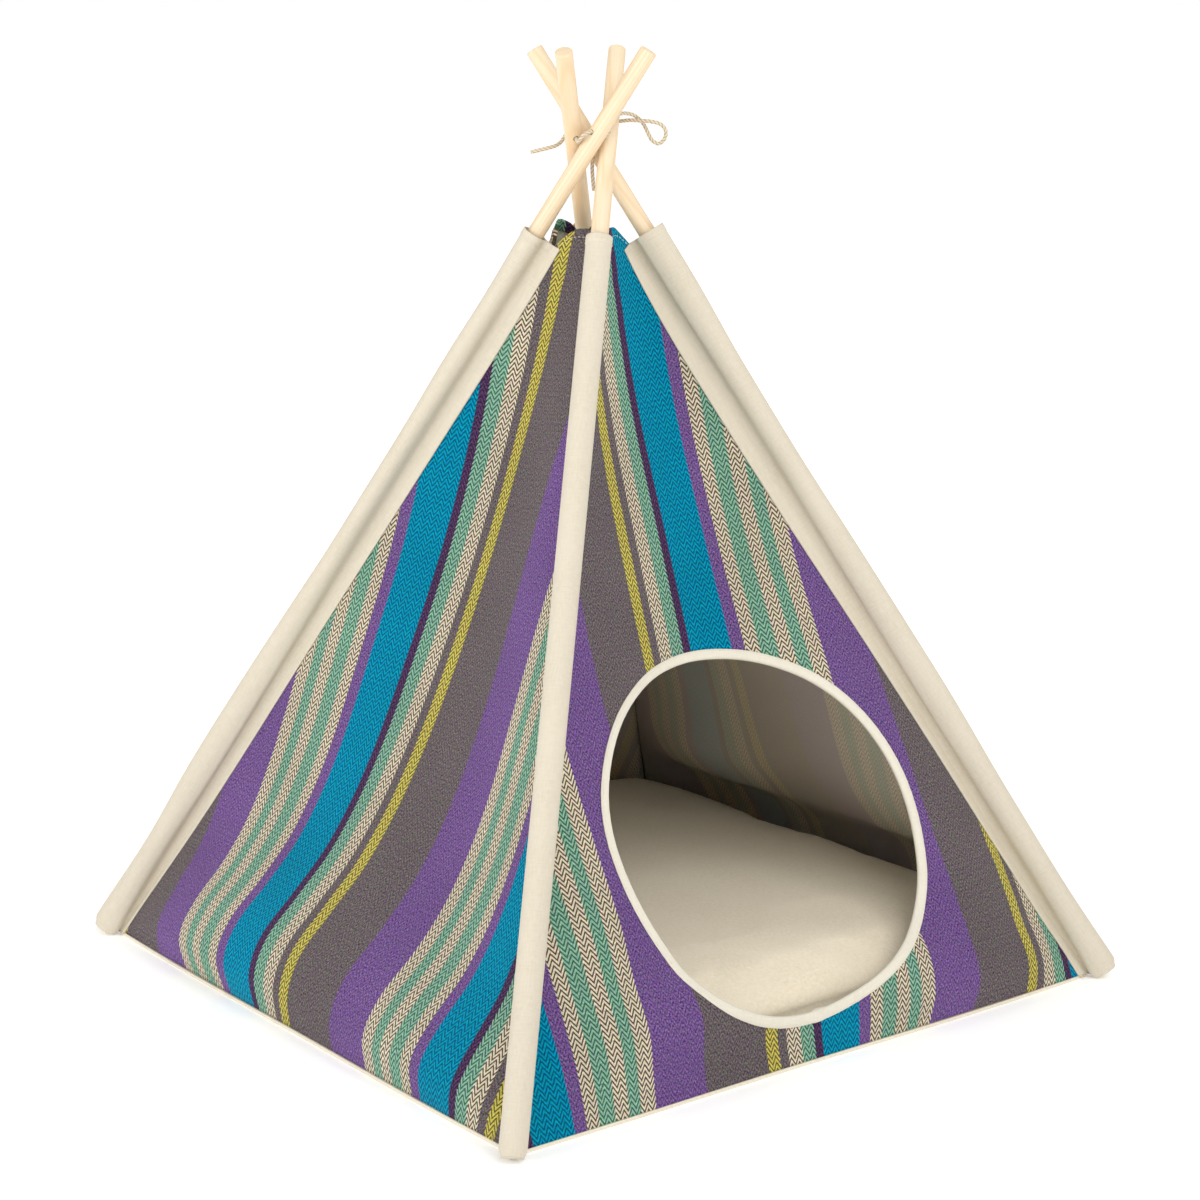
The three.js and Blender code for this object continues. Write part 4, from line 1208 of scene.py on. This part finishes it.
# %% Lay the floor cloth
FLOOR_SIDE_POINTS = 120
CAD_WALL_BOTTOM = 2.9 * MM
# From the top inwards, round the folded edge, to the underside: how far out, how high
FLOOR_EDGE = MM * np.array([
    [-6, 2.15], [-1, 2.3], [0.5, 2.45], [1.15, 2.2], [1.3, 1.8], [0.95, 1.42], [1.3, 1.05],
    [1.4, 0.6], [1.0, 0.15], [-1, 0.02], [-6, 0.02],
])
# Rings nearer the middle, as shares of the outline
FLOOR_INNER_RINGS = (0.75, 0.4)


def make_floor_cloth():
    """A flat square of canvas with a folded edge."""
    share = (np.arange(FLOOR_SIDE_POINTS) + 0.5) / FLOOR_SIDE_POINTS
    sides = []
    for name in ("panel_door", "panel_right", "panel_back", "panel_left"):
        quarter_turn, table = WALLS[name][:2]
        side = wall_middle(table, share, np.full(share.shape, CAD_WALL_BOTTOM))
        sides.append(turned(side, quarter_turn))
    outline = np.vstack(sides)[:, :2]
    ahead = unit(np.roll(outline, -1, axis=0) - np.roll(outline, 1, axis=0))
    out = np.column_stack([ahead[:, 1], -ahead[:, 0]])
    count = len(outline)
    rings = [np.column_stack([outline + out * away, np.full(count, height)]) for away, height in FLOOR_EDGE]
    for ring_share in FLOOR_INNER_RINGS:
        rings.insert(0, np.column_stack([outline * ring_share, np.full(count, FLOOR_EDGE[0, 1])]))
        rings.append(np.column_stack([outline * ring_share, np.full(count, FLOOR_EDGE[-1, 1])]))
    points = np.vstack(rings + [[[0, 0, FLOOR_EDGE[0, 1]], [0, 0, FLOOR_EDGE[-1, 1]]]])
    faces = closed_tube(len(rings), count)
    floor = new_piece("floor_canvas", points, faces)
    point_outwards(floor)
    floor.data.materials.append(floor_canvas)
    return floor


floor_piece = make_floor_cloth()
print("floor cloth:", len(floor_piece.data.polygons), "faces")

# %% [markdown]
# ## The cushion
#
# A cushion's shape comes from its filling pressing on its cover, which is a job for a cloth
# simulation. The CAD model's solid is its rough form. A copy of it is made a little smaller, given
# an even mesh by a voxel remesh, and blown up with air pressure and no gravity. Each point may
# move only a few millimetres, so the cushion stays inside the walls. Then its seam is drawn in,
# halfway up the sides, because the remesh would have removed a seam made earlier.

# %% Measures of the cushion
CUSHION_START = (0.985, 0.985, 0.93)
CUSHION_RAISED = 2 * MM
# The outline is a rounded square whose corners get squarer with a higher power: the CAD cushion's
# power, and the one that it is given here
CUSHION_CORNERS = 6
CUSHION_SQUARER = 11
CUSHION_VOXEL = 6 * MM
CUSHION_HALF = 241 * MM
CUSHION_LOW = 2.5 * MM
CUSHION_HIGH = 60.5 * MM
print("cushion side:", round(2 * CUSHION_HALF / MM), "mm at the most")

# %% A smaller cushion with even faces
def cushion_start():
    """The CAD cushion as one merged, slightly smaller mesh with even faces."""
    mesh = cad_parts["cushion"].data.copy()
    points = mesh_points(mesh)
    turn = np.arctan2(points[:, 1], points[:, 0])
    sides = np.abs(np.stack([np.cos(turn), np.sin(turn)]))
    round_corner, square_corner = [(sides ** power).sum(axis=0) ** (-1 / power)
                                   for power in (CUSHION_CORNERS, CUSHION_SQUARER)]
    points[:, :2] *= (square_corner / round_corner)[:, None]
    move_points(mesh, points)
    shrink = Matrix.Diagonal((*CUSHION_START, 1.0))
    mesh.transform(Matrix.Translation((0, 0, CUSHION_RAISED)) @ shrink)
    work = bmesh.new()
    work.from_mesh(mesh)
    bmesh.ops.remove_doubles(work, verts=work.verts, dist=0.05 * MM)
    work.to_mesh(mesh)
    work.free()
    pad = in_scene("cushion_pad", mesh)
    even = pad.modifiers.new("Even faces", "REMESH")
    even.mode = "VOXEL"
    even.voxel_size = CUSHION_VOXEL
    return finished(pad)


cushion = cushion_start()
print("cushion at the start:", len(cushion.data.polygons), "faces")

# %% Blow it up
CUSHION_PRESSURE = 4.0
CUSHION_TENSION = 18
CUSHION_BENDING = 2.5
CUSHION_FRAMES = 20
CUSHION_CAP = 7 * MM


def blow_up(pad):
    """The pad after a few frames of cloth simulation with air inside it."""
    before = mesh_points(pad.data)
    cover = pad.modifiers.new("Cushion cover", "CLOTH")
    cover.settings.use_pressure = True
    cover.settings.uniform_pressure_force = CUSHION_PRESSURE
    cover.settings.effector_weights.gravity = 0
    cover.settings.tension_stiffness = CUSHION_TENSION
    cover.settings.bending_stiffness = CUSHION_BENDING
    cover.point_cache.frame_end = CUSHION_FRAMES
    for number in range(1, CUSHION_FRAMES + 1):
        scene.frame_set(number)
    pad = finished(pad)
    scene.frame_set(1)
    moved = mesh_points(pad.data) - before
    far = np.linalg.norm(moved, axis=1, keepdims=True)
    move_points(pad.data, before + moved * np.minimum(1, CUSHION_CAP / np.maximum(far, 1e-9)))
    return pad


cushion = blow_up(cushion)
print("cushion height:", round(float(np.ptp(mesh_points(cushion.data)[:, 2])) / MM, 1), "mm")

# %% Give it its seam and dents
CUSHION_SEAM_HEIGHT = 27 * MM
CUSHION_SEAM_DEPTH = 1.6 * MM
CUSHION_SEAM_REACH = 3.2 * MM
CUSHION_DENTS = 1.2 * MM


def dress_cushion(pad):
    """Smooth the pad, draw its seam in, give its crown soft dents and keep it inside its limits."""
    smooth = pad.modifiers.new("Smoother", "SUBSURF")
    smooth.levels = 1
    smooth.render_levels = 1
    pad = finished(pad)
    points = mesh_points(pad.data)
    normals = np.array([point.normal for point in pad.data.vertices])
    x, y, z = points.T
    from_seam = (z - CUSHION_SEAM_HEIGHT) / CUSHION_SEAM_REACH
    at_side = np.clip(1 - np.abs(normals[:, 2]) / 0.7, 0, 1)
    points -= normals * (CUSHION_SEAM_DEPTH * np.exp(-from_seam ** 2) * at_side)[:, None]
    dents = (np.sin(x / 0.061 + 1.3) * np.sin(y / 0.053 - 0.4) + 0.6 * np.sin(x / 0.023 + y / 0.031)
             + 0.45 * np.sin(y / 0.019 - x / 0.041 + 2))
    points[:, 2] += CUSHION_DENTS * dents * np.clip(normals[:, 2], 0, 1)
    points[:, :2] = np.clip(points[:, :2], -CUSHION_HALF, CUSHION_HALF)
    points[:, 2] = np.clip(points[:, 2], CUSHION_LOW, CUSHION_HIGH)
    move_points(pad.data, points)
    pad.data.shade_smooth()
    pad.data.materials.clear()
    pad.data.materials.append(cushion_canvas)
    return pad


cushion = dress_cushion(cushion)
print("cushion faces:", len(cushion.data.polygons))

# %% [markdown]
# ## Thread and cord
#
# Sewing thread and the tie are both twisted cotton. The thread is so thin that its own colour is
# enough. The tie gets painted shade in its grooves: its strand height picks a darker tone between
# the strands and a lighter one on them, and fine noise roughens it.

# %% Finishes of thread and cord
def twisted_cotton():
    """Unbleached cotton cord: matt, hairy at its edges, with painted shade between its strands."""
    material, tree, shader = new_material(
        "twisted cotton cord", Roughness=0.9, Specular_IOR_Level=0.2, Sheen_Weight=0.25,
        Sheen_Roughness=0.5)
    strand = add_node(tree, "ShaderNodeAttribute", attribute_name="strand_height")
    share = add_node(tree, "ShaderNodeMapRange", {
        "Value": strand.outputs["Fac"], "From Min": -1.0, "From Max": 0.6, "To Min": 0.0, "To Max": 1.0})
    place = add_node(tree, "ShaderNodeTexCoord")
    fibres = add_node(tree, "ShaderNodeTexNoise",
                      {"Vector": place.outputs["Object"], "Scale": 2400.0, "Detail": 3.0})
    # Painted shade: the grooves between the strands get the darker tone, the strands' crowns the lighter one
    mixed = add_node(tree, "ShaderNodeMix",
                     {"Factor": share, 6: linear("#b3a086"), 7: linear("#dccfb6")}, data_type="RGBA")
    tree.links.new(mixed.outputs[2], shader.inputs["Base Color"])
    bump = add_node(tree, "ShaderNodeBump", {"Height": fibres, "Strength": 0.6, "Distance": 0.2 * MM})
    tree.links.new(bump.outputs[0], shader.inputs["Normal"])
    return material


# Pale sewing cotton, with a slight gloss
thread = new_material("cream sewing thread", Base_Color=linear("#ddd4c3"), Roughness=0.6,
                      Specular_IOR_Level=0.4)[0]
tie.data.materials.append(twisted_cotton())
print("thread and cord are ready")

# %% [markdown]
# ## Stitches
#
# A seam shows as a row of small dashes of thread, a few millimetres long. There are thousands of
# them, all alike, so Geometry Nodes places them: it turns a line of points into a curve, walks
# along it in even steps, and puts one small rounded dash at each step, laid along the line. The
# dashes vary a little in length, as real ones do. Each row is then baked to plain mesh.

# %% The tree that sews
def stitch_tree():
    """A node tree that turns lines into rows of thread dashes."""
    tree = bpy.data.node_groups.new("Stitches", "GeometryNodeTree")
    tree.interface.new_socket("Geometry", in_out="INPUT", socket_type="NodeSocketGeometry")
    for name in ("Pitch", "Dash length", "Thread radius"):
        tree.interface.new_socket(name, in_out="INPUT", socket_type="NodeSocketFloat")
    tree.interface.new_socket("Thread", in_out="INPUT", socket_type="NodeSocketMaterial")
    tree.interface.new_socket("Geometry", in_out="OUTPUT", socket_type="NodeSocketGeometry")
    given = add_node(tree, "NodeGroupInput").outputs
    line = add_node(tree, "GeometryNodeMeshToCurve", {"Mesh": given["Geometry"]})
    steps = add_node(tree, "GeometryNodeCurveToPoints", {"Curve": line, "Length": given["Pitch"]},
                     mode="LENGTH")
    dash = add_node(tree, "GeometryNodeMeshUVSphere", {"Segments": 7, "Rings": 5, "Radius": 1.0})
    half_length = add_node(tree, "ShaderNodeMath", [given["Dash length"], 0.5], operation="MULTIPLY")
    uneven = add_node(tree, "FunctionNodeRandomValue", {"Min": 0.85, "Max": 1.1, "Seed": 7},
                      data_type="FLOAT")
    varied = add_node(tree, "ShaderNodeMath", [half_length, uneven.outputs["Value"]], operation="MULTIPLY")
    size = add_node(tree, "ShaderNodeCombineXYZ", [given["Thread radius"], given["Thread radius"], varied])
    placed = add_node(tree, "GeometryNodeInstanceOnPoints", {
        "Points": steps.outputs["Points"], "Instance": dash.outputs["Mesh"],
        "Rotation": steps.outputs["Rotation"], "Scale": size})
    real = add_node(tree, "GeometryNodeRealizeInstances", {"Geometry": placed})
    coloured = add_node(tree, "GeometryNodeSetMaterial", {"Geometry": real, "Material": given["Thread"]})
    add_node(tree, "NodeGroupOutput", {"Geometry": coloured})
    return tree


stitch_nodes = stitch_tree()
print("stitch tree:", len(stitch_nodes.nodes), "nodes")

# %% Rows of stitches
def sew(name, lines, pitch=3.1 * MM, dash=2.3 * MM, radius=0.24 * MM):
    """Rows of stitches along lines of points, as one plain mesh."""
    edges, start = [], 0
    for line in lines:
        edges += [(start + i, start + i + 1) for i in range(len(line) - 1)]
        start += len(line)
    mesh = bpy.data.meshes.new(name)
    mesh.from_pydata(np.vstack(lines).tolist(), edges, [])
    piece = in_scene(name, mesh)
    sewing = piece.modifiers.new("Sewing", "NODES")
    sewing.node_group = stitch_nodes
    values = {"Pitch": pitch, "Dash length": dash, "Thread radius": radius, "Thread": thread}
    for item in stitch_nodes.interface.items_tree:
        if item.in_out == "INPUT" and item.name in values:
            sewing[item.identifier] = values[item.name]
    piece = finished(piece)
    piece.data.shade_smooth()
    return piece


def on_face(name, across, height, lift=0.08 * MM):
    """Points on the right side of a wall."""
    face, wrong, _ = cloth_layers(name, across, height)
    return turned(face + unit(face - wrong) * lift, WALLS[name][0])


def on_sleeve(corner, along, first, last):
    """Points on a sleeve's outside across it, from one share of its section to another."""
    ends = [int(share * (SECTION_POINTS - 1)) for share in (first, last)]
    return sleeve_section(corner, along)[ends[0]:ends[1] + 1]


print("stitch helpers are ready")

# %% Sew the hems and the binding
# From one seam's sleeve to the other, and from one side of a sleeve to the other
WALL_HEM_STITCHES = (0.07, 0.93)
SLEEVE_HEM_STITCHES = (0.2, 0.8)
# How far each row lies from the edge that it holds
WALL_HEM_ROW = HEM_WIDTH - 1.3 * MM
SLEEVE_HEM_ROW = 4.6 * MM
BINDING_ROW_RADIUS = 127.2 * MM
BINDING_ROW_PROUD = 1.85 * MM

wall_stitches = {}
for name in walls:
    share = np.linspace(*WALL_HEM_STITCHES, 60)
    hem_line = on_face(name, share, wall_top(share) - WALL_HEM_ROW / WALL_SLANT)
    wall_stitches[name] = sew(f"{name}_hem_stitches", [hem_line])
sleeve_stitches = []
for corner, name in enumerate(CORNER_NAMES):
    hem_line = on_sleeve(corner, SLEEVE_TOP - SLEEVE_HEM_ROW, *SLEEVE_HEM_STITCHES)
    sleeve_stitches.append(sew(f"sleeve_{name}_stitches", [hem_line], pitch=3.4 * MM))
around = np.linspace(0, 2 * math.pi, 500)
across, height = door_place(BINDING_ROW_RADIUS + door_edge(around), around)
binding_line = wall_point(DOOR_WALL, across, height, BINDING_ROW_PROUD)
binding_stitches = sew("doorway_binding_stitches", [binding_line], pitch=3.0 * MM, dash=2.2 * MM,
                       radius=0.2 * MM)
print("stitch faces:", sum(len(row.data.polygons) for row in
                           [*wall_stitches.values(), *sleeve_stitches, binding_stitches]))

# %% [markdown]
#
# Each shown piece rides on the tent's root body. Where a piece stands for pieces of the CAD
# model, those are hidden.


def declare(piece, slot, *nodes):
    """The piece rides on the tent and stands for CAD nodes where it is told. Its slot is not used."""
    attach(piece, "root")
    if nodes:
        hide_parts(*nodes)


for name, wall in walls.items():
    declare(wall, "striped_cloth", name)
    declare(wall_stitches[name], "canvas")
    on_it = [wall_stitches[name]]
    if name == "panel_door":
        declare(binding, "canvas", "door_binding")
        declare(binding_stitches, "canvas")
        on_it += [binding, binding_stitches]
for corner, name in enumerate(CORNER_NAMES):
    declare(sleeves[corner], "canvas", f"sleeve_{name}")
    declare(sleeve_stitches[corner], "canvas")
    declare(dowels[corner], "wood", f"pole_{name}")
declare(floor_piece, "canvas", "floor_cloth")
declare(cushion, "cushion_canvas", "cushion")
declare(tie, "cord", "tie_cord")
